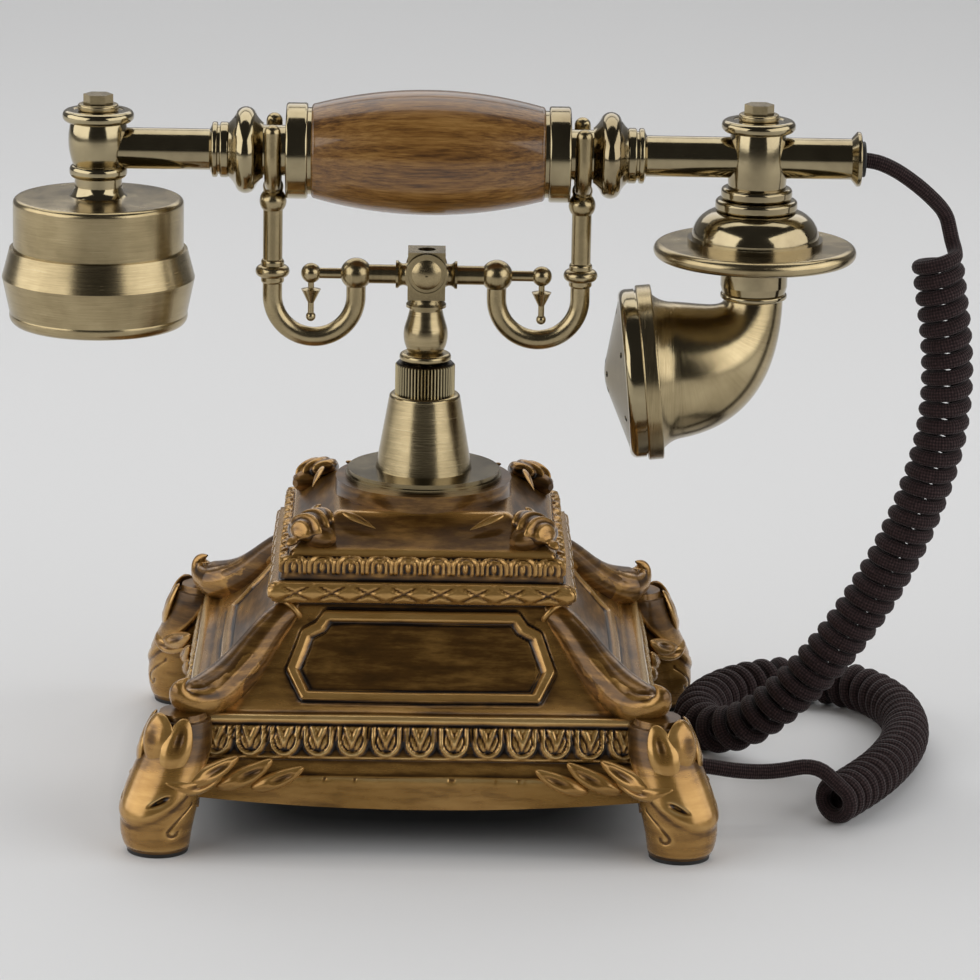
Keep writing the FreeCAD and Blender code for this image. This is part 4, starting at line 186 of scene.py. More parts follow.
# Step along the route, reach of its smoothing, bend that leads into the curls, and the turn of their ends
STATION, SMOOTHING, FIRST_CURL_BEND, FIRST_CURL_DEG, LAST_CURL_DEG = 0.5, 8.0, 6.5, 28.0, 60.0
CURL_POINTS, BEND_POINTS, CORD_SIDES = 14, 5, 14
CURL_ROUTE = [(148.6, 0, 166.6), (150.9, 0, 151), (153.2, 0, 137), (154.2, 0, 122), (152.9, 0, 106),
              (148.9, 1, 90), (142.6, 2, 72.5), (132.8, 4, 53), (121.5, 6, 36), (109, 9, 21.5),
              (98, 14, 11.5), (88.5, 22.5, 7.5), (84.6, 36.5, 7.5), (87.6, 51.5, 7.5), (95.6, 66, 7.5),
              (108, 77, 7.5), (123, 80, 7.5), (137, 72.5, 7.5), (146, 57, 7.5), (149.4, 37, 7.5),
              (147.6, 15, 7.5), (140.5, -8, 7.5), (131, -28.5, 7.5), (121, -45, 7.5)]
# Straight ends: beside the seat in the handset, and from the table up into the gland
UPPER_TAIL = [(0, 0, 0), (7.1, 0, 0), (13.6, 0, -2.4), (19.4, 0.3, -6.2), (24.6, 0.8, -10.4)]
LOWER_TAIL = [(104, -43.3, 15.6), (93, -45.2, 16.2), (81.0, -47, 18.8), (72.4, -47, 18.8)]
FIRST_TAIL_RUN, SECOND_TAIL_RUN = 6.0, 10.0


def curl_points():
    """Control points of the curls: the centre line plus a radius that turns about it, right-handed as it
    runs. The pitch keeps the turns apart on the inside of a bend, and the first turn starts with a bend."""
    line = spline_points(np.array(CURL_ROUTE, float), 40)
    length = distances(line)[-1]
    count = int(length / STATION)
    step = length / count
    where = np.linspace(0, length, count + 1)
    centre = at_distances(line, where)
    ahead = unit(np.gradient(centre, axis=0))
    curvature = np.linalg.norm(np.gradient(ahead, step, axis=0), axis=1)
    landed = np.clip((where - HANG_LENGTH) / LANDING, 0, 1)
    radius = HANG_RADIUS + (TABLE_RADIUS - HANG_RADIUS) * landed
    side = carried_sides(ahead, (1, 0, 0))
    other = np.cross(ahead, side)
    tight = (CORD_DIA + CURL_GAP) / (CURL_SLOPE * (1 - radius * curvature))
    reach = int(SMOOTHING / step)
    widest = np.lib.stride_tricks.sliding_window_view(np.pad(tight, reach, "edge"), 2 * reach + 1).max(axis=1)
    pitch = np.convolve(np.pad(widest, reach, "edge"), np.ones(2 * reach + 1) / (2 * reach + 1), "valid")
    slope = 2 * math.pi * radius[0] / pitch[0]
    bend = FIRST_CURL_BEND * slope / math.hypot(1, slope)
    first, last = math.radians(FIRST_CURL_DEG), math.radians(LAST_CURL_DEG)

    def angle_of(k, across):
        """Turn of a direction about the route at one of its points."""
        return math.atan2(np.dot(across, other[k]), np.dot(across, side[k]))

    start = angle_of(0, (math.cos(first), math.sin(first), 0))
    target = angle_of(count, (math.cos(last), 0, math.sin(last)))
    early = np.minimum(where, bend)
    entry = (FIRST_CURL_BEND - np.sqrt(FIRST_CURL_BEND ** 2 - early ** 2)) / radius[0]
    steady = np.cumsum(np.clip((where - bend) / step, 0, 1) * 2 * math.pi * step / pitch)
    whole = round((steady[-1] + start + entry[-1] - target) / (2 * math.pi))
    phase = start + entry + (2 * math.pi * whole + target - start - entry[-1]) / steady[-1] * steady
    begin = np.interp(bend, where, phase)
    turns = (phase[-1] - begin) / (2 * math.pi)
    late = np.interp(np.linspace(begin, phase[-1], int(turns * CURL_POINTS) + 1), phase, where)
    marks = np.concatenate([bend * np.sin(np.linspace(0, math.pi / 2, BEND_POINTS))[:-1], late])
    angle = np.interp(marks, where, phase)[:, None]
    proud = np.interp(marks, where, radius) / np.where(marks < bend, 1, math.cos(math.pi / CURL_POINTS))
    centre, ahead, side = (np.stack([np.interp(marks, where, a[:, k]) for k in range(3)], axis=-1)
                           for a in (centre, ahead, side))
    side = unit(side - ahead * np.sum(side * ahead, axis=1, keepdims=True))
    return centre + (side * np.cos(angle) + np.cross(ahead, side) * np.sin(angle)) * proud[:, None]


def tube(line, radius):
    """Round tube along a line: a circle of points carried along without twist, closed to a point at both
    ends, with its place along and round for the UV map."""
    ahead = unit(np.gradient(line, axis=0))
    side = carried_sides(ahead, (0.3, 0.2, 1.0))
    angle = np.linspace(0, 2 * math.pi, CORD_SIDES + 1)
    ring = (side[:, None] * np.cos(angle)[None, :, None]
            + np.cross(ahead, side)[:, None] * np.sin(angle)[None, :, None])
    points = line[:, None] + ring * radius
    place = np.stack(np.broadcast_arrays(distances(line)[:, None], angle[None, :] / (2 * math.pi)), axis=-1)
    ends = [np.repeat(line[k:k + 1, None], CORD_SIDES + 1, axis=1) for k in (0, len(line) - 1)]
    return (np.concatenate([ends[0], points, ends[1]]), PLAIN_WORN,
            np.concatenate([place[:1], place, place[-1:]]))


def make_cord(finish):
    """The cord in two pieces that meet behind the telephone."""
    curls = curl_points()
    ahead, onward = unit(curls[1] - curls[0]), unit(curls[-1] - curls[-2])
    seat = np.array([CORD_START, 0, HANDSET_Z])
    upper = [seat + np.array(p) for p in UPPER_TAIL] + [curls[0] - ahead * FIRST_TAIL_RUN]
    lower = [curls[-1] + onward * SECOND_TAIL_RUN] + [np.array(p, float) for p in LOWER_TAIL]
    line = spline_points(np.concatenate([upper, curls, lower]), 5)
    line = line[np.insert(np.diff(distances(line)) > SAME_POINT, 0, True)]
    back = int(np.argmax(line[:, 1]))
    parts = [("handset_cord_hanging", line[:back + 1]), ("handset_cord_lying", line[back:])]
    exits = [(CORD_FACE * MM, 0, HANDSET_Z * MM), tuple(line[-1] * MM)]
    ends = [("handset", "cradle", (0.128, 0, 0.188), (0.088, 0.024, 0.008)),
            ("cradle", "base", (0.118, 0.080, 0.012), (0.135, -0.010, 0.008))]
    for (name, points), leaves, (first, second, start, end) in zip(parts, exits, ends):
        cord = piece(name, None, finish, [tube(points, CORD_DIA / 2)], closed=True)
        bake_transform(cord)
        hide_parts("handset_cord")
        path = points * MM if leaves == exits[0] else points[::-1] * MM


# Base casting: the source's levels in millimetres, and its half widths at them, below and above the flare
APRON_LOW, APRON_TOP, EGG_LOW, EGG_TOP, LEDGE = 12.0, 20.9, 26.0, 34.6, 37.3
BEAD_LOW, BEAD_TOP, ARCH_TOP, ROOF_LOW = 65.2, 70.6, 77.0, 78.7
SKIN_LOWER = [(72.3, APRON_LOW), (71.0, APRON_TOP), (70.1, APRON_TOP), (68.4, EGG_LOW), (69.3, EGG_LOW),
              (67.1, EGG_TOP), (66.3, LEDGE), (62.5, LEDGE)]
FLARE_PULL, FLARE_POINTS = (47.23, 47.51), 40
SKIN_UPPER = [(39.6, 64.2), (43.3, BEAD_LOW), (43.3, BEAD_TOP), (40.7, BEAD_TOP), (40.7, ARCH_TOP),
              (38.4, ARCH_TOP), (38.4, ROOF_LOW), (25.0, 87.5), (19.0, 87.6)]
# How far the skin stands off the casting, its grid, its rounded corners, and how far the apron's edge bows
SKIN_OUT, SKIN_STEP, SKIN_COLUMNS, CORNER_ROUND, BOW, BOW_HALF = 0.28, 0.5, 261, 1.6, 3.0, 63.0
EGG_PITCH, ARCH_PITCH, DIAMOND_PITCH, TOOTH_PITCH = 9.66, 8.3, 10.35, 3.1
EGGS_HALF, ARCHES_HALF = 6.5 * EGG_PITCH, 5 * ARCH_PITCH
# Outline of a side's panel, as half width and level, and half the width of its field
PANEL = [(0.0, 60.4), (27.2, 60.4), (29.4, 57.6), (33.2, 55.8), (37.0, 46.9), (33.2, 41.0), (0.0, 40.8)]
PANEL_FIELD = 33.0
# Sides in the order of their quarter turns, and the most that wear and painted light reach above the ledge,
# which holds the upper casting darker: painted shade
SIDES, GLAND_SIDE, DIAL_SIDE, UPPER_SHADE_CAP = ("front", "right", "back", "left"), 1, 2, 0.74
# Middle of the dial's face and its direction, the edge of its housing, and the gland's place on its side
DIAL_AT = np.array([0, 54.6, 52.4])
DIAL_OUT = np.array([0, math.sqrt(0.5), math.sqrt(0.5)])
HOUSING_RADIUS, HOUSING_GAP, HOUSING_STEP, HOUSING_SNAP = 34.0, 0.05, 0.9, 0.7
GLAND_AT = (-47.0, 18.8)


def hump(x):
    """1 at the middle, 0 from one unit out, with a soft foot."""
    return np.clip(1 - x * x, 0, 1) ** 2


def spread(field, reach):
    """Mean over a square window of grid points."""
    width = 2 * reach + 1
    for axis in (0, 1):
        pads = [(reach, reach) if k == axis else (0, 0) for k in range(field.ndim)]
        sums = np.cumsum(np.pad(field, pads, "edge"), axis=axis)
        sums = np.concatenate([np.zeros_like(np.take(sums, [0], axis)), sums], axis=axis)
        size = field.shape[axis]
        field = (np.take(sums, np.arange(width, width + size), axis)
                 - np.take(sums, np.arange(size), axis)) / width
    return field


def rubbed(points, reach, gain, middle=0.5):
    """How far a surface stands out from the mean round it: ridges are rubbed bright, hollows stay dark."""
    rise = spread(points, reach)
    across, up = np.gradient(points, axis=1), np.gradient(points, axis=0)
    out = np.cross(across, up)
    out = out / np.maximum(np.linalg.norm(out, axis=-1, keepdims=True), 1e-9)
    return np.clip(middle + gain * np.sum((points - rise) * out, axis=-1), 0, 1)


def skin_profile():
    """Half widths and heights of the skin, every half millimetre up the side, its outward directions, and the
    distance up it. The flare is a quadratic curve."""
    part = np.linspace(0, 1, FLARE_POINTS)[1:-1, None]
    flare = ((1 - part) ** 2 * np.array(SKIN_LOWER[-1]) + 2 * part * (1 - part) * np.array(FLARE_PULL)
             + part ** 2 * np.array(SKIN_UPPER[0]))
    line = np.concatenate([SKIN_LOWER, flare, SKIN_UPPER])
    length = distances(line)[-1]
    where = np.linspace(0, length, int(length / SKIN_STEP) + 1)
    spots = at_distances(line, where)
    for _ in range(2):
        spots[1:-1] = spots[:-2] / 4 + spots[1:-1] / 2 + spots[2:] / 4
    step = np.gradient(spots, axis=0)
    return spots[:, 0], spots[:, 1], unit(np.stack([step[:, 1], -step[:, 0]], axis=1)), where


def cell(s, pitch):
    """Distance from the middle of the nearest cell of a repeat."""
    return (s + pitch / 2) % pitch - pitch / 2


def egg_relief(s, v):
    """Hanging tongue: a rim that is broad at its round end, a groove, and a leaf with bent veins inside."""
    a = np.abs(cell(s, EGG_PITCH))
    outer = np.where(v < 4.4, np.hypot(a, v - 4.4), a)
    inner = np.where(v < 5.0, np.hypot(a, (v - 5.0) * 0.86), a)
    rim = np.clip((4.35 - outer) / 0.6, 0, 1) * np.clip((inner - 2.95) / 0.5, 0, 1)
    blade = np.clip(1 - (inner / 2.85) ** 2, 0, 1) ** 0.4
    veins = 0.28 * np.cos(2 * math.pi * (a * 0.50 - (v - 4.0) * 0.20)) * (blade > 0.05)
    dart = 0.6 * hump((a - EGG_PITCH / 2) / 0.5) * smooth_step(3.0, 5.5, v)
    inside = (np.abs(s) < EGGS_HALF) * smooth_step(0.0, 0.4, v) * (1 - smooth_step(8.6, 9.0, v))
    return (1.2 * rim + blade * 1.05 + veins + dart - 0.25) * inside


def arch_relief(s, v):
    """Standing arch: two rings and a bud between them, open at the foot."""
    a = np.abs(cell(s - ARCH_PITCH / 2, ARCH_PITCH))
    ring = np.where(v > 2.3, np.hypot(a, v - 2.3), a)
    bud = np.hypot(a * 1.1, (v - 1.9) * 0.6)
    rings = 0.95 * hump((ring - 3.5) / 0.9) + 0.8 * hump((ring - 2.0) / 0.65)
    dart = 0.5 * hump((a - ARCH_PITCH / 2) / 0.6) * smooth_step(3.6, 5.2, v)
    inside = (np.abs(s) < ARCHES_HALF) * smooth_step(0.0, 0.4, v) * (1 - smooth_step(6.3, 6.6, v))
    return (rings + 0.8 * hump(bud / 1.15) + dart - 0.2) * inside


def diamond_relief(s, v):
    """Flat raised diamonds end to end, with cut lines round them, on a rounded bead."""
    a = np.abs(cell(s, DIAMOND_PITCH)) / (DIAMOND_PITCH / 2)
    b = np.abs(v - 2.7) / 2.7
    edge = a + b
    body = 0.85 * np.clip((0.92 - edge) / 0.16, 0, 1) + 0.45 * np.clip((edge - 1.12) / 0.12, 0, 1)
    return (body - 0.15) * np.clip(1.15 - b, 0, 1) ** 0.5 + 0.45 * np.clip(1 - b * b, 0, 1)


def between(x, low, high):
    """Whether values lie between two others."""
    return (x > low) & (x < high)


def edge_distance(s, v, corners):
    """Distance to the outline through given corners, mirrored on both sides."""
    s = np.abs(s)
    least = np.full(s.shape, np.inf)
    for (x0, y0), (x1, y1) in zip(corners[:-1], corners[1:]):
        length = (x1 - x0) ** 2 + (y1 - y0) ** 2
        part = np.clip(((s - x0) * (x1 - x0) + (v - y0) * (y1 - y0)) / length, 0, 1)
        least = np.minimum(least, np.hypot(s - x0 - part * (x1 - x0), v - y0 - part * (y1 - y0)))
    return least


def skin_side(side):
    """One side of the skin: the profile carried across, with its relief square to the profile and mitred,
    rounded corners. Rows run up and columns to the right, seen from outside."""
    half, high, out, where = skin_profile()
    levels = (APRON_TOP, EGG_LOW, EGG_TOP, LEDGE, BEAD_LOW, BEAD_TOP + 0.1)
    apron, eggs, eggs_top, ledge, bead, arches = np.interp(levels, high, where)
    panel = [(x, np.interp(z, high, where)) for x, z in PANEL]
    half, high, where = half[:, None], high[:, None], where[:, None]
    u = np.linspace(-1, 1, SKIN_COLUMNS)[None, :]
    s = u * half
    relief = egg_relief(s, where - eggs - 0.9) * between(high, EGG_LOW - 0.001, EGG_TOP + 0.1)
    relief += 0.75 * hump((where - (eggs_top + ledge) / 2) / 1.7)
    relief += arch_relief(s, where - arches - 2.6) * between(high, BEAD_TOP - 0.1, ARCH_TOP + 0.1)
    relief += diamond_relief(s, where - bead - 0.3) * between(high, BEAD_LOW - 0.2, BEAD_TOP + 0.2)
    teeth = hump(cell(s + 0.8 * np.sin(s * 1.7), TOOTH_PITCH) / 0.5) * (np.sin(s * 0.9) > 0.2)
    relief -= 0.5 * teeth * hump((where - apron + 0.9) / 0.9)
    inside = 0.0
    if side != DIAL_SIDE:
        away = edge_distance(s, where, panel)
        on_flare = between(high, LEDGE + 0.7, BEAD_LOW - 1.7)
        level = np.minimum(panel[0][1] - where, where - panel[-1][1])
        field = smooth_step(0.0, 1.0, level) * (np.abs(s) < PANEL_FIELD)
        relief += (np.clip((1.75 - away) / 0.8, 0, 1) ** 0.8 - 0.35 * hump((away - 2.2) / 0.5)) * on_flare
        inside = field * (away > 1.9) * on_flare
    relief += SKIN_OUT + 0.10 * np.sin(s * 0.11 + side) * np.sin(where * 0.19)
    if side == GLAND_SIDE:
        relief -= 0.75 * (1 - smooth_step(3.9, 4.6, np.hypot(s - GLAND_AT[0], high - GLAND_AT[1])))
    wide = half + out[:, :1] * relief
    tall = high + out[:, 1:] * relief
    apron_height = APRON_TOP - APRON_LOW
    bow = BOW * np.clip(np.abs(s) / BOW_HALF, 0, 1) ** 2
    bowed = APRON_TOP - (APRON_TOP - tall) * (apron_height - bow) / apron_height
    tall = np.where(high < APRON_TOP, bowed, tall)
    length = wide - CORNER_ROUND + CORNER_ROUND * math.pi / 4
    run = np.abs(u) * length
    turn = np.maximum(run - (wide - CORNER_ROUND), 0) / CORNER_ROUND
    x = np.sign(u) * np.where(turn > 0, wide - CORNER_ROUND + CORNER_ROUND * np.sin(turn), run)
    y = -np.where(turn > 0, wide - CORNER_ROUND + CORNER_ROUND * np.cos(turn), wide)
    points = np.stack([x, y, np.broadcast_to(tall, x.shape)], axis=-1)
    # Rubbed wear, with painted light and shade added: a darker panel field, a lighter apron and ledge, darker
    # arches and roof, and a cap above the ledge
    worn = 0.5 * rubbed(points, 2, 2.4) + 0.5 * rubbed(points, 5, 1.5) - 0.10 * inside
    worn += 0.06 * (high < EGG_LOW) + 0.16 * between(high, LEDGE - 0.7, LEDGE + 1.1)
    worn -= 0.05 * between(high, BEAD_TOP, ARCH_TOP) + 0.12 * (high > ARCH_TOP + 1.0)
    return quarter(points, side), np.clip(worn, 0, np.where(high > LEDGE + 1.1, UPPER_SHADE_CAP, 1.0))


def round_dial(made):
    """Open the back skin for the dial: points near the housing's edge move on to it, those inside go."""
    mesh = made.data
    points = np.zeros(len(mesh.vertices) * 3)
    mesh.vertices.foreach_get("co", points)
    points = points.reshape(-1, 3) / MM
    off = points - DIAL_AT
    high = off @ DIAL_OUT
    radial = off - high[:, None] * DIAL_OUT
    away = np.linalg.norm(radial, axis=1)
    edge = HOUSING_RADIUS + HOUSING_GAP - HOUSING_STEP * (high < -0.3)
    snap = between(away, edge - HOUSING_SNAP, edge)
    points[snap] = (DIAL_AT + high[:, None] * DIAL_OUT + radial / away[:, None] * edge[:, None])[snap]
    mesh.vertices.foreach_set("co", (points * MM).ravel())
    shape = bmesh.new()
    shape.from_mesh(mesh)
    shape.verts.ensure_lookup_table()
    gone = [shape.verts[k] for k in np.flatnonzero((away < edge) & ~snap)]
    bmesh.ops.delete(shape, geom=gone, context="VERTS")
    shape.to_mesh(mesh)
    shape.free()
    mesh.update()


# Directions of the front right corner, out along its diagonal and across it
DIAGONAL, ACROSS = np.array([1, -1, 0]) / math.sqrt(2), np.array([1, 1, 0]) / math.sqrt(2)
# The leg's centre line as half width and level, with its radius, and its two ends
FOOT_LEVELS = [(74.6, 1.2, 9.0), (73.6, 15.0, 10.6), (69.6, 28.0, 9.2), (67.8, 39.4, 6.6)]
FOOT_POLES = [(74.6, 1.25), (67.8, 38.6)]
FOOT_LOW, FOOT_HIGH, FOOT_OUT, FOOT_RADIUS, CURL_LEVEL = 1.25, 37.5, 0.15, 10.6, 8.2
# Leaves of the front right corner, as path, direction that they face, half width, thickness and shape: four
# beside the leg, two on its top and one on the roof
LEAF_RINGS, FORWARD = 34, (0, -1, 0.15)
SHIELD = [(75.2, -75.2, 22.8), (77.6, -77.6, 32.0), (73.6, -73.6, 40.6)]
LEAVES = [([(48.5, -71.2, 17.6), (40.0, -71.4, 19.6), (33.0, -70.9, 23.9)], FORWARD, 2.6, 2.3, {}),
          ([(58.5, -72.6, 18.6), (48.5, -72.0, 20.6), (42.0, -70.9, 26.2)], FORWARD, 2.9, 2.5, {}),
          ([(68.0, -80.6, 20.6), (60.0, -75.0, 22.0), (51.5, -71.0, 27.0)], FORWARD, 2.9, 2.5, {}),
          ([(73.0, -81.4, 22.4), (67.8, -82.0, 20.4), (61.8, -77.2, 19.4), (56.0, -73.0, 21.6)],
           FORWARD, 2.3, 2.0, {}),
          ([(71.6, -79.8, 24.2), (68.6, -79.4, 32.0), (66.6, -75.2, 39.4)], FORWARD, 4.3, 1.7, {}),
          (SHIELD, (1, -1, 0.2), 6.4, 1.7, {"hollow": 0.45, "waist": 1.2, "drape": 2.6, "around": 44}),
          ([(23.5, -30.2, 88.6), (19.0, -31.6, 87.2), (13.6, -33.2, 84.6)], (0, -1, 1.5), 1.3, 0.8,
           {"hollow": 0.4, "waist": 0.6, "tip": 0.8})]
# The rib's centre line as half width and level, its radii, and the ring at its start
RIB_LINE = [(36.5, 61.8), (39.0, 60.5), (45.0, 55.6), (50.5, 49.0), (57.5, 43.2), (63.4, 41.4), (68.2, 43.2),
            (69.2, 47.4), (66.6, 48.6)]
RIB_RADII = [4.1, 4.35, 5.15, 6.15, 6.6, 5.9, 4.4, 2.6, 0.3]
NECK_AT, NECK_AHEAD, NECK_RADIUS, NECK_SIZE = (38.6, -38.6, 60.6), (6.0, -6.0, -4.9), 4.5, (0.75, 0.85)
NECK_WORN = 0.7
# Both ends of the leaf on a corner of the roof
SHELL_START, SHELL_END = np.array([39.2, -39.2, 80.8]), np.array([27.2, -27.2, 88.2])


def leaf(path, out, wide, thick, hollow=0.6, waist=0.8, tip=0.55, drape=0.0, around=28):
    """Closed leaf along a bent path: an oval section that swells and narrows to both ends, with a long hollow
    on its outer face. Its sides can be draped back over what it lies on."""
    line = spline_points(np.array(path, float), 12)
    part = np.linspace(0, 1, LEAF_RINGS)
    line = at_distances(line, part * distances(line)[-1])
    b = part[:, None]
    ahead = unit(np.gradient(line, axis=0))
    across = unit(np.cross(ahead, np.broadcast_to(unit(np.array(out, float)), ahead.shape)))
    face = np.cross(across, ahead)
    swell = (np.sin(math.pi * part ** waist) ** tip)[:, None]
    angle = np.linspace(0, 2 * math.pi, around + 1)
    c, s = np.cos(angle)[None, :], np.sin(angle)[None, :]
    scoop = hump((b - 0.58) / 0.32) * hump(c / 0.50) * (s > 0)
    rise = thick * (swell * s * (1 - 0.25 * np.abs(c)) - hollow * scoop) - drape * (swell * c) ** 2
    points = line[:, None] + across[:, None] * (wide * swell * c)[..., None] + face[:, None] * rise[..., None]
    # The underside, which faces the casting, is made darker: painted shade.
    worn = np.clip(0.60 + 0.16 * (np.abs(c) > 0.6) - (0.1 + 0.35 * hollow) * scoop - 0.3 * (s < -0.2), 0, 1)
    return points, worn


def foot_surface():
    """Leg of the front right corner: circles that follow the source's levels, with a smooth leaf hanging over
    the knee, a teardrop hollow on each side of it, and a line that curls round the inner flank."""
    z = np.linspace(FOOT_LOW, FOOT_HIGH, 130)
    middle, level, size = np.transpose(FOOT_LEVELS)
    half = np.polyval(np.polyfit(level, middle, 3), z)
    radius = np.polyval(np.polyfit(level, size, 3), z) + FOOT_OUT
    angle = np.linspace(0, 2 * math.pi, 181)
    off = (angle + math.pi) % (2 * math.pi) - math.pi
    zz, aa = z[:, None], off[None, :]
    flank = np.abs(aa)
    edge = 10.5 + 8.0 * (flank / 1.45) ** 2
    over = smooth_step(-1.6, 1.6, zz - edge)
    relief = 0.85 * over + 0.5 * hump(aa / 0.9) * hump((zz - 14.5) / 6.0)
    run, rise = (flank - 0.74) * FOOT_RADIUS, zz - 17.0
    broad = 1.15 + 0.12 * np.clip(run, -2, 2)
    drop = np.hypot((run * 0.87 + rise * 0.5) / 3.6, (rise * 0.87 - run * 0.5) / broad)
    relief -= 1.25 * hump(drop)
    line = (flank - 1.15 - 0.62 * np.clip((zz - CURL_LEVEL) / 6.5, 0, 1) ** 1.3) * FOOT_RADIUS
    hook = np.hypot((flank - 1.30) * FOOT_RADIUS, zz - CURL_LEVEL) - 1.6
    curl = np.where(zz > CURL_LEVEL, np.abs(line), np.abs(hook))
    shown = smooth_step(5.6, 6.2, zz) * (1 - smooth_step(14.0, 16.5, zz)) * (flank < 2.3)
    relief -= 0.6 * hump(curl / 0.65) * shown + 0.5 * hump((zz - 1.3) / 1.2)
    r = radius[:, None] + relief
    centre = np.stack([half, -half, z], axis=-1)[:, None]
    points = centre + DIAGONAL * (r * np.cos(aa))[..., None] + ACROSS * (r * np.sin(aa))[..., None]
    # The top of the leg, under the ledge and the rib, is darker: painted shade. The knee round the teardrop
    # is lighter: a painted highlight.
    worn = rubbed(points, 4, 1.8, 0.46) - 0.26 * smooth_step(24.0, 30.0, zz) - 0.25 * hump(drop)
    worn = np.clip(worn + 0.14 * hump((zz - 17) / 9) * hump(aa / 1.3), 0, 1)
    low, top = (np.full((1, len(angle), 3), (at, -at, level)) for at, level in FOOT_POLES)
    return np.concatenate([low, points, top]), np.concatenate([worn[:1], worn, worn[-1:]])


def corner_leaves():
    """The leaves of the front right corner. Each has a twin on the other side of the corner's diagonal, but
    the shield, which lies on it, has none."""
    found = []
    for path, out, wide, thick, shape in LEAVES:
        points, worn = leaf(path, out, wide, thick, **shape)
        found.append((points, worn))
        if path is not SHIELD:
            found.append((np.stack([-points[..., 1], -points[..., 0], points[..., 2]], axis=-1), worn))
    return found


def rib_surface():
    """Scroll rib of the front right corner: a swelling round bar with a line cut along each flank, whose end
    curls up into a hollowed spoon."""
    fine = spline_points(np.array([(h, -h, z) for h, z in RIB_LINE]), 14)
    part = (distances(fine) / distances(fine)[-1])[:, None]
    knots = np.interp(np.linspace(0, len(RIB_LINE) - 1, len(fine)), np.arange(len(RIB_LINE)), RIB_RADII)
    face = np.cross(ACROSS, unit(np.gradient(fine, axis=0)))
    face = face * np.sign(face[:1, 2:3])
    angle = np.linspace(0, 2 * math.pi, 73)
    c, s = np.cos(angle)[None, :], np.sin(angle)[None, :]
    top = np.clip(s, 0, 1)
    end = smooth_step(0.60, 0.80, part)
    hollow = end * hump((part - 0.82) / 0.16) * hump(c / 0.72) * top
    r = knots[:, None] * (1 - 0.62 * hollow)
    flank = hump((np.abs(c) - 0.90) / 0.10) * (s > -0.2)
    r = r - 0.35 * flank * (1 - end) - 0.10 * knots[:, None] * top ** 4 * (1 - end)
    broad = 1 + 0.28 * hump((part - 0.78) / 0.22)
    points = fine[:, None] + ACROSS * (r * broad * c)[..., None] + face[:, None] * (r * s)[..., None]
    # The rib is rubbed round a middle of 0.64, lighter than the casting round it: partly wear, partly a
    # painted highlight.
    worn = rubbed(points[:, ::-1], 3, 1.0, 0.64)[:, ::-1]
    return points, np.clip(worn - 0.45 * hollow - 0.35 * flank, 0, 1)


def necking():
    """Ring of oval section where a rib starts under the bead."""
    ahead = unit(np.array(NECK_AHEAD))
    big = np.linspace(0, 2 * math.pi, 49)[None, :, None]
    small = np.linspace(0, 2 * math.pi, 13)[:, None, None]
    ring = ACROSS * np.cos(big) + np.cross(ACROSS, ahead) * np.sin(big)
    points = ring * (NECK_RADIUS + NECK_SIZE[0] * np.cos(small)) + ahead * NECK_SIZE[1] * np.sin(small)
    return np.array(NECK_AT) + points, NECK_WORN


def roof_shell():
    """Leaf of the front right corner of the roof: a round body that swells towards the disc, with lobes
    slanting back from its spine and a small knob at the corner."""
    reach = SHELL_END - SHELL_START
    face = np.cross(unit(reach), ACROSS)
    face = face * np.sign(face[2])
    part = np.linspace(0, 1, 90)[:, None]
    angle = np.linspace(0, 2 * math.pi, 73)[None, :]
    c, s = np.cos(angle), np.sin(angle)
    fan = smooth_step(0.14, 0.50, part)
    lobes = 0.5 + 0.5 * np.cos(2 * math.pi * (part * 5.2 + 0.7 * c * c))
    body = np.sqrt(np.clip(1 - (2 * part - 1) ** 2, 0, 1)) * (2.6 + 2.8 * fan)
    pinch = 1 - 0.36 * hump((part - 0.20) / 0.09)
    body = body * pinch * (1 + 0.20 * (lobes - 0.5) * fan)
    points = (SHELL_START + reach * part[..., None] + ACROSS * (1.15 * body * c)[..., None]
              + face * (0.70 * body * s)[..., None])
    # The underside, which faces the roof, is made darker: painted shade.
    worn = np.clip(0.32 + 0.38 * lobes * fan + 0.25 * (1 - fan) - 0.25 * (s < 0.1), 0, 1)
    return points, worn


def make_base(finish):
    """Skin of the four sides, and the ornament of the corners, each made once and turned to all four."""
    for side, name in enumerate(SIDES):
        made = piece("base_" + name + "_ornament", "base", finish, [(*skin_side(side), None)])
        if side == DIAL_SIDE:
            round_dial(made)
    corner = {"foot_ornament": [foot_surface()], "corner_scrolls": [rib_surface(), necking()],
              "acanthus_leaves": corner_leaves(), "roof_shells": [roof_shell()]}
    for name, surfaces in corner.items():
        patches = [(quarter(points, turn), worn, None) for turn in range(4) for points, worn in surfaces]
        piece(name, "base", finish, patches, closed=True)


# Materials

class Field:
    """A socket of a material that takes part in arithmetic; each sum, product or power adds a Math node."""

    def __init__(self, finish, socket):
        self.finish, self.socket = finish, socket

    def math(self, operation, *others):
        """Another field, by one Math node."""
        return self.finish.node("ShaderNodeMath", {"operation": operation}, self, *others)

    def __add__(self, other):
        return self.math("ADD", other)

    def __sub__(self, other):
        return self.math("SUBTRACT", other)

    def __mul__(self, other):
        return self.math("MULTIPLY", other)

    def __pow__(self, other):
        return self.math("POWER", other)


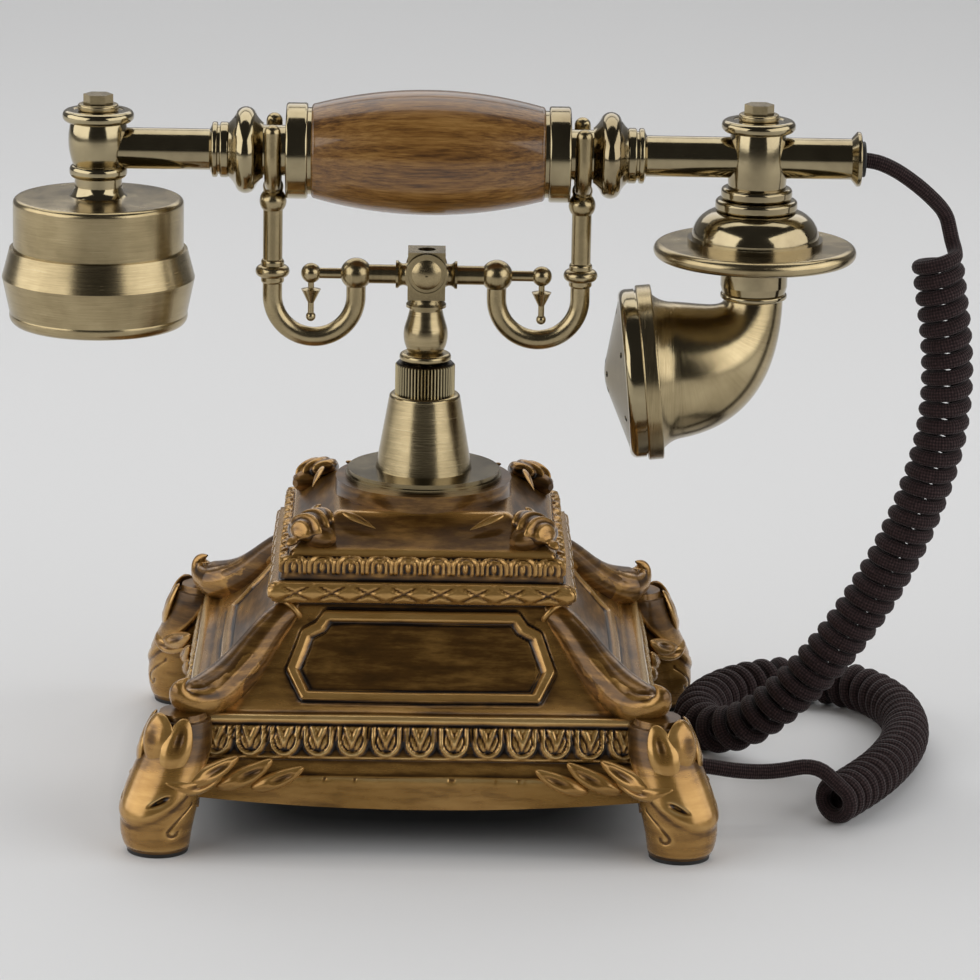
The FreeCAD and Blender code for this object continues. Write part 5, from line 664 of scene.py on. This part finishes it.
class Finish:
    """A material under construction, with one Principled shader."""

    def __init__(self, name, **even):
        self.material = bpy.data.materials.new(name)
        self.material.use_nodes = True
        self.tree = self.material.node_tree
        self.shader = self.tree.nodes["Principled BSDF"]
        for socket, value in even.items():
            self.shader.inputs[socket.replace("_", " ")].default_value = value

    def node(self, kind, settings=None, *values, out=0, **named):
        """Add a node: its settings, then the values or links of its sockets in order or by name."""
        made = self.tree.nodes.new(kind)
        for key, value in (settings or {}).items():
            if key == "stops":
                ramp = made.color_ramp
                while len(ramp.elements) < len(value):
                    ramp.elements.new(0.5)
                for element, (at, colour) in zip(ramp.elements, value):
                    element.position = at
                    element.color = (*colour, 1.0)
            else:
                setattr(made, key, value)
        pairs = list(enumerate(values)) + [(key.replace("_", " "), value) for key, value in named.items()]
        for key, value in pairs:
            if isinstance(value, Field):
                self.tree.links.new(value.socket, made.inputs[key])
            else:
                made.inputs[key].default_value = value
        return Field(self, made.outputs[out])

    def to(self, socket, field):
        """Link a field to the shader."""
        self.tree.links.new(field.socket, self.shader.inputs[socket])

    def place(self, kind="Object"):
        """Object or UV coordinates."""
        return self.node("ShaderNodeTexCoord", out=kind)

    def axes(self, place):
        """X, Y and Z of a place."""
        split = self.node("ShaderNodeSeparateXYZ", {}, place)
        return [Field(self, part) for part in split.socket.node.outputs]

    def noise(self, place, scale, detail=3.0, rough=0.5, stretch=None):
        """Cloudy pattern from 0 to 1, drawn out along the axes with a small stretch."""
        if stretch is not None:
            place = self.node("ShaderNodeMapping", {}, Vector=place, Scale=stretch)
        return self.node("ShaderNodeTexNoise", {}, Vector=place, Scale=scale, Detail=detail, Roughness=rough)

    def ramp(self, field, *stops):
        """Colours of a field between stops of (value, colour)."""
        return self.node("ShaderNodeValToRGB", {"stops": stops}, field)

    def level(self, field, low, high, to_low=0.0, to_high=1.0):
        """A field's range from low to high, spread over another."""
        return self.node("ShaderNodeMapRange", {}, field, low, high, to_low, to_high)

    def bump(self, height, depth, strength=1.0):
        """Relief of a height field, in metres."""
        self.to("Normal", self.node("ShaderNodeBump", {}, strength, depth, Height=height))


# Middle of the horn's bend, as x and z, and the collar's radius over its ribs with their depth
BEND_AT, KNURL_RADIUS, KNURL_DEPTH = (72.4, 147.4), 8.8, 0.55
# Worn height of the bare casting, which carries no relief of its own
BARE_WORN = 0.36
# Strands of the braid for each millimetre along the cord and for each turn about it
BRAID_RUN, BRAID_TURNS = 0.75, 7.0
# Phase of the wire's ridges on the ringer coils, in radians for each metre along them
WIRE_PHASE = 9000.0
# Tones of brushed brass
SATIN_STOPS = [(0.3, (0.19, 0.146, 0.078)), (0.5, (0.36, 0.285, 0.158)), (0.72, (0.54, 0.438, 0.256))]


def polished_brass():
    """Antique brass under lacquer: dark olive tone, faint clouds and fine rubbing marks."""
    made = Finish("polished_brass", Metallic=1.0, Coat_Weight=0.2, Coat_Roughness=0.08)
    place = made.place()
    clouds = made.noise(place, 60.0, 4.0, 0.6)
    made.to("Base Color", made.ramp(clouds, (0.3, (0.26, 0.205, 0.12)), (0.55, (0.37, 0.305, 0.18)),
                                    (0.8, (0.46, 0.385, 0.235))))
    made.to("Roughness", made.level(made.noise(place, 180.0, 3.0), 0.2, 0.8, 0.09, 0.17))
    made.bump(made.noise(place, 1500.0, 2.0), 0.00002, 0.35)
    return made.material


def satin_brass(name, stretch, tone=1.0, rough=(0.17, 0.30), place_of=Finish.place):
    """Brushed antique brass: fine scratches drawn out along the polishing direction, over broad clouds."""
    made = Finish(name, Metallic=1.0)
    scratches = made.noise(place_of(made), 2600.0, 3.0, 0.7, stretch)
    clouds = made.noise(made.place(), 45.0, 4.0, 0.6)
    stops = [(at, tuple(tone * part for part in colour)) for at, colour in SATIN_STOPS]
    made.to("Base Color", made.ramp(scratches * 0.35 + clouds * 0.65, *stops))
    made.to("Roughness", made.level(scratches, 0.2, 0.8, *rough))
    made.bump(scratches, 0.00004, 0.5)
    return made.material


def horn_run(made):
    """Place on the horn as its turn about the middle of the bend, so that scratches run round the horn."""
    x, y, z = made.axes(made.place())
    turn = (z - BEND_AT[1] * MM).math("ARCTAN2", x - BEND_AT[0] * MM)
    return made.node("ShaderNodeCombineXYZ", {}, turn * 0.08, y, z)


def knurled_brass():
    """Brass collar whose colour goes dark down in its grooves."""
    made = Finish("brass_knurled", Metallic=1.0, Roughness=0.26)
    x, y, _ = made.axes(made.place())
    away = (x * x + y * y) ** 0.5
    made.to("Base Color", made.ramp(made.level(away, (KNURL_RADIUS - KNURL_DEPTH) * MM, KNURL_RADIUS * MM),
                                    (0.25, (0.035, 0.026, 0.014)), (0.75, (0.50, 0.42, 0.25))))
    return made.material


def base_casting(name, own_relief):
    """Bronzed casting: dark paint stays in the hollows and is rubbed off the ridges, in brushed streaks, and
    on some parts the worn attribute also brings painted light and shade.
    """
    made = Finish(name, Metallic=0.6, Coat_Weight=0.4, Coat_Roughness=0.16, Specular_IOR_Level=0.3)
    place = made.place()
    streaks = made.noise(place, 420.0, 5.0, 0.65, (0.16, 0.16, 1.0))
    clouds = made.noise(place, 55.0, 4.0, 0.6)
    grain = made.noise(place, 2200.0, 2.0)
    height = BARE_WORN
    if own_relief:
        height = made.node("ShaderNodeAttribute", {"attribute_name": "worn"}, out="Fac")
    worn = (streaks - 0.5) * 0.70 + (clouds - 0.5) * 0.28 + height
    made.to("Base Color", made.ramp(worn, (0.10, (0.008, 0.0035, 0.0013)), (0.36, (0.120, 0.056, 0.011)),
                                    (0.56, (0.36, 0.190, 0.046)), (0.82, (0.50, 0.290, 0.088)),
                                    (1.0, (0.60, 0.400, 0.16))))
    made.to("Roughness", made.level(worn, 0.1, 0.9, 0.36, 0.20))
    made.bump(grain * 0.3 + streaks * 0.7, 0.00009, 0.5)
    return made.material


def grip_wood():
    """Lacquered golden brown wood with dark streaks along the grip."""
    made = Finish("wood_grip", Coat_Weight=0.6, Coat_Roughness=0.06, Specular_IOR_Level=0.4)
    place = made.place()
    warp = made.noise(place, 30.0, 2.0, 0.5, (0.25, 1.0, 1.0))
    broad = made.noise(place, 170.0, 4.0, 0.65, (0.05, 1.0, 1.0))
    fine = made.noise(place, 1400.0, 3.0, 0.7, (0.06, 1.0, 1.0))
    grain = broad * 0.40 + fine * 0.45 + warp * 0.15
    made.to("Base Color", made.ramp(grain, (0.36, (0.026, 0.0105, 0.002)), (0.45, (0.105, 0.043, 0.008)),
                                    (0.53, (0.215, 0.098, 0.020)), (0.64, (0.34, 0.180, 0.048))))
    made.to("Roughness", made.level(fine, 0.2, 0.8, 0.28, 0.40))
    made.bump(fine, 0.00003, 0.4)
    return made.material


def cord_braid():
    """Maroon braid: strands cross each other round the cord, each a small ridge, with pale flecks. The colour
    is darker where the strands dip and lighter on their ridges: painted shade.
    """
    made = Finish("cord_braid", Specular_IOR_Level=0.2, Sheen_Weight=0.12, Sheen_Roughness=0.4)
    along, around, _ = made.axes(made.place("UV"))
    run, turn = along * BRAID_RUN, around * BRAID_TURNS
    weave = ((run + turn) * (2 * math.pi)).math("SINE") * ((run - turn) * (2 * math.pi)).math("SINE")
    flecks = made.noise(made.place(), 1500.0, 2.0, 0.6)
    tone = weave * 0.28 + 0.5 + (flecks - 0.5) * 0.9
    made.to("Base Color", made.ramp(tone, (0.15, (0.006, 0.0028, 0.0028)), (0.5, (0.019, 0.0088, 0.0088)),
                                    (0.85, (0.055, 0.030, 0.030))))
    made.to("Roughness", made.level(tone, 0.0, 1.0, 0.85, 0.6))
    made.bump(weave * 0.5 + flecks * 0.25, 0.00025, 0.8)
    return made.material


def plain_finish(name, dark, light, rough, **even):
    """Moulded or turned stuff with a faintly uneven colour and surface."""
    made = Finish(name, **even)
    place = made.place()
    clouds = made.noise(place, 300.0, 4.0, 0.6)
    made.to("Base Color", made.ramp(clouds, (0.3, dark), (0.7, light)))
    made.to("Roughness", made.level(clouds, 0.2, 0.8, *rough))
    made.bump(made.noise(place, 1800.0), 0.00003, 0.5)
    return made.material


def winding_finish():
    """Fine copper wire wound round the coils: thin ridges along their length, with the colour dark between
    the turns and light on them: painted shade and painted highlight.
    """
    made = Finish("coil_winding", Metallic=0.8, Roughness=0.35)
    turns = (made.axes(made.place())[0] * WIRE_PHASE).math("SINE")
    made.to("Base Color", made.ramp(turns * 0.5 + 0.5, (0.0, (0.16, 0.05, 0.02)), (1.0, (0.62, 0.27, 0.12))))
    made.bump(turns, 0.0001, 0.6)
    return made.material


# Stage

# Half the floor's width in millimetres, and the shadow painted into its colour under the base: how far out it
# is whole and where it ends, in metres, and the light that is left in it
FLOOR_HALF, FLOOR_PAINTED_SHADOW = 9000.0, (0.045, 0.092, 0.14)
# Brightness of the room, from in front of the object round to behind it
ROOM = [(0.0, 0.04), (0.3, 0.05), (0.6, 0.14), (1.0, 0.26)]
# Lamps as name, place, aim, width, height and power
LAMPS = [("left_lamp", (-1.24, -0.36, 0.66), (0, 0, 0.12), 2.2, 1.15, 16.0),
         ("right_lamp", (1.24, -0.46, 0.66), (0, 0, 0.12), 2.1, 1.15, 14.0),
         ("top_lamp", (0.0, 0.55, 1.35), (0, 0.1, 0), 1.9, 0.9, 8.5),
         ("far_lamp", (0.0, 2.1, 1.3), (0, 1.5, 0), 3.0, 1.2, 14.0)]


def make_stage():
    """Pale floor that fills the view, with a painted shadow in its colour under the base, large lamps at the
    sides and above, and a room dark in front.
    """
    floor = Finish("floor", Specular_IOR_Level=0.1, Roughness=0.7)
    place = floor.place()
    clouds = floor.noise(place, 1.2, 2.0)
    x, y, _ = floor.axes(place)
    # The floor's colour goes dark under the base: a painted shadow.
    painted_shadow = floor.level((x * x * x * x + y * y * y * y) ** 0.25, *FLOOR_PAINTED_SHADOW, 1.0)
    tone = clouds * 0.05 + 0.77
    floor.to("Base Color", floor.ramp(painted_shadow * tone, (0.0, (0.0, 0.0, 0.0)), (1.0, (1.0, 1.0, 1.0))))
    ends = (-FLOOR_HALF, FLOOR_HALF)
    grid = np.array([[(side, back, 0.0) for side in ends] for back in ends])
    ground = piece("floor", None, floor.material, [(grid, PLAIN_WORN, None)])
    world = bpy.data.worlds.new("room")
    bpy.context.scene.world = world
    world.use_nodes = True
    tree = world.node_tree
    ramp = tree.nodes.new("ShaderNodeValToRGB")
    split = tree.nodes.new("ShaderNodeSeparateXYZ")
    coords = tree.nodes.new("ShaderNodeTexCoord")
    tree.links.new(coords.outputs["Generated"], split.inputs[0])
    tree.links.new(split.outputs[1], ramp.inputs[0])
    while len(ramp.color_ramp.elements) < len(ROOM):
        ramp.color_ramp.elements.new(0.5)
    for element, (at, grey) in zip(ramp.color_ramp.elements, ROOM):
        element.position = at
        element.color = (grey, grey, grey * 1.02, 1.0)
    tree.links.new(ramp.outputs[0], tree.nodes["Background"].inputs[0])
    for name, at, aim, width, height, power in LAMPS:
        lamp = bpy.data.lights.new(name, "AREA")
        lamp.shape = "RECTANGLE"
        lamp.size, lamp.size_y, lamp.energy = width, height, power
        holder = bpy.data.objects.new(name, lamp)
        away = unit(np.array(at) - np.array(aim))
        across = unit(np.cross((0.0, 0.0, 1.0) if abs(away[2]) < 0.95 else (0.0, 1.0, 0.0), away))
        turn = Matrix(np.stack([across, np.cross(away, across), away], axis=1).tolist()).to_4x4()
        holder.matrix_world = Matrix.Translation(at) @ turn
        bpy.context.scene.collection.objects.link(holder)


# Digits: where the first is, the step to the next, in degrees, the ring that they lie on, how far behind the
# dial's face, their size and their thickness
DIGIT_FIRST, DIGIT_STEP, DIGIT_RING, DIGIT_BACK, DIGIT_SIZE, DIGIT_THICK = 236.5, 28.5, 22.6, 0.36, 6.2, 0.04


def make_digits(finish):
    """Numbers 1 to 9 and 0 on the number plate, one under each hole of the finger wheel."""
    right, up = np.array([-1.0, 0, 0]), np.array([0, -math.sqrt(0.5), math.sqrt(0.5)])
    for k, digit in enumerate("1234567890"):
        curve = bpy.data.curves.new("digit_" + digit, "FONT")
        curve.body, curve.size, curve.extrude = digit, DIGIT_SIZE, DIGIT_THICK
        curve.align_x, curve.align_y = "CENTER", "CENTER"
        holder = bpy.data.objects.new("digit_" + digit, curve)
        mesh = bpy.data.meshes.new_from_object(holder)
        bpy.data.objects.remove(holder)
        flat = np.zeros(len(mesh.vertices) * 3)
        mesh.vertices.foreach_get("co", flat)
        flat = flat.reshape(-1, 3)
        turn = math.radians(DIGIT_FIRST + DIGIT_STEP * k)
        at = DIAL_AT - DIAL_OUT * DIGIT_BACK - DIGIT_RING * (right * math.cos(turn) + up * math.sin(turn))
        points = (at + flat[:, :1] * right + flat[:, 1:2] * up + flat[:, 2:] * DIAL_OUT) * MM
        mesh.vertices.foreach_set("co", points.ravel())
        mesh.update()
        mesh.materials.clear()
        mesh.materials.append(finish)
        made = bpy.data.objects.new("digit_" + digit, mesh)
        bpy.context.scene.collection.objects.link(made)
        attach(made, "base")


def dress(finish, *nodes):
    """Give nodes of the frame their finish."""
    for name in nodes:
        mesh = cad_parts[name].data
        for k in range(len(mesh.materials)):
            mesh.materials[k] = finish


make_camera()
make_cord(cord_braid())
make_base(base_casting("base_casting", True))
make_digits(plain_finish("printed_ink", (0.008, 0.008, 0.008), (0.014, 0.013, 0.012), (0.4, 0.5)))

dress(base_casting("base_casting_plain", False), "base_shell")
dress(plain_finish("dark_rubber", (0.006, 0.006, 0.006), (0.016, 0.015, 0.014), (0.45, 0.6)),
      "foot_pads", "cord_bush", "cord_gland")
dress(plain_finish("steel", (0.42, 0.42, 0.42), (0.58, 0.58, 0.59), (0.25, 0.38), Metallic=1.0),
      "bottom_plate", "bottom_screws", "switch_bracket", "cradle_spring", "inner_screws", "bush_nut",
      "dial_screws", "dial_case", "stem_clip", "ringer_frame", "gongs", "clapper", "guide_bush", "tie_tube")
dress(plain_finish("dark_plastic", (0.015, 0.014, 0.013), (0.03, 0.028, 0.026), (0.3, 0.42)),
      "hook_switch", "line_jack", "earphone", "microphone")
dress(plain_finish("board", (0.02, 0.09, 0.03), (0.04, 0.14, 0.05), (0.35, 0.5)), "circuit_board")
dress(plain_finish("printed_plate", (0.78, 0.74, 0.64), (0.84, 0.80, 0.70), (0.22, 0.30), Coat_Weight=0.5),
      "number_plate")
dress(winding_finish(), "ringer_coils")
dress(grip_wood(), "grip")
dress(knurled_brass(), "knurled_collar")
dress(polished_brass(), "grip_collars", "mouth_dome", "horn_neck", "mouth_bezel", "left_tube", "right_tube",
      "left_knob", "right_knob", "ear_column", "mouth_column", "end_flange", "dial_cap", "dial_shaft")
dress(satin_brass("satin_brass", (1.0, 1.0, 1.0)),
      "left_hook", "right_hook", "drop_finials", "cross_block", "finger_wheel", "finger_stop", "column_bolts")
dress(satin_brass("brass_satin_dim", (1.0, 1.0, 1.0), 0.6), "mouth_grille")
dress(satin_brass("brass_brushed_round", (0.03, 0.03, 1.0)),
      "ear_cup", "ear_ring", "cone_sleeve", "guard_disc", "cradle_stem")
# A darker copy of the brushed brass for the disc: painted shade, standing in for the dark that the disc
# reflects.
dress(satin_brass("brass_turned_painted_shade", (0.03, 0.03, 1.0), 0.62, (0.14, 0.26)), "top_disc")
dress(satin_brass("brass_brushed_mouth", (1.0, 0.03, 0.03)),
      "horn_bell", "mouth_ring", "left_arm", "right_arm")
dress(satin_brass("brass_brushed_horn", (1.0, 0.02, 0.02), 1.05, (0.12, 0.22), horn_run), "horn")

make_stage()
bpy.context.scene.view_settings.view_transform = "Standard"
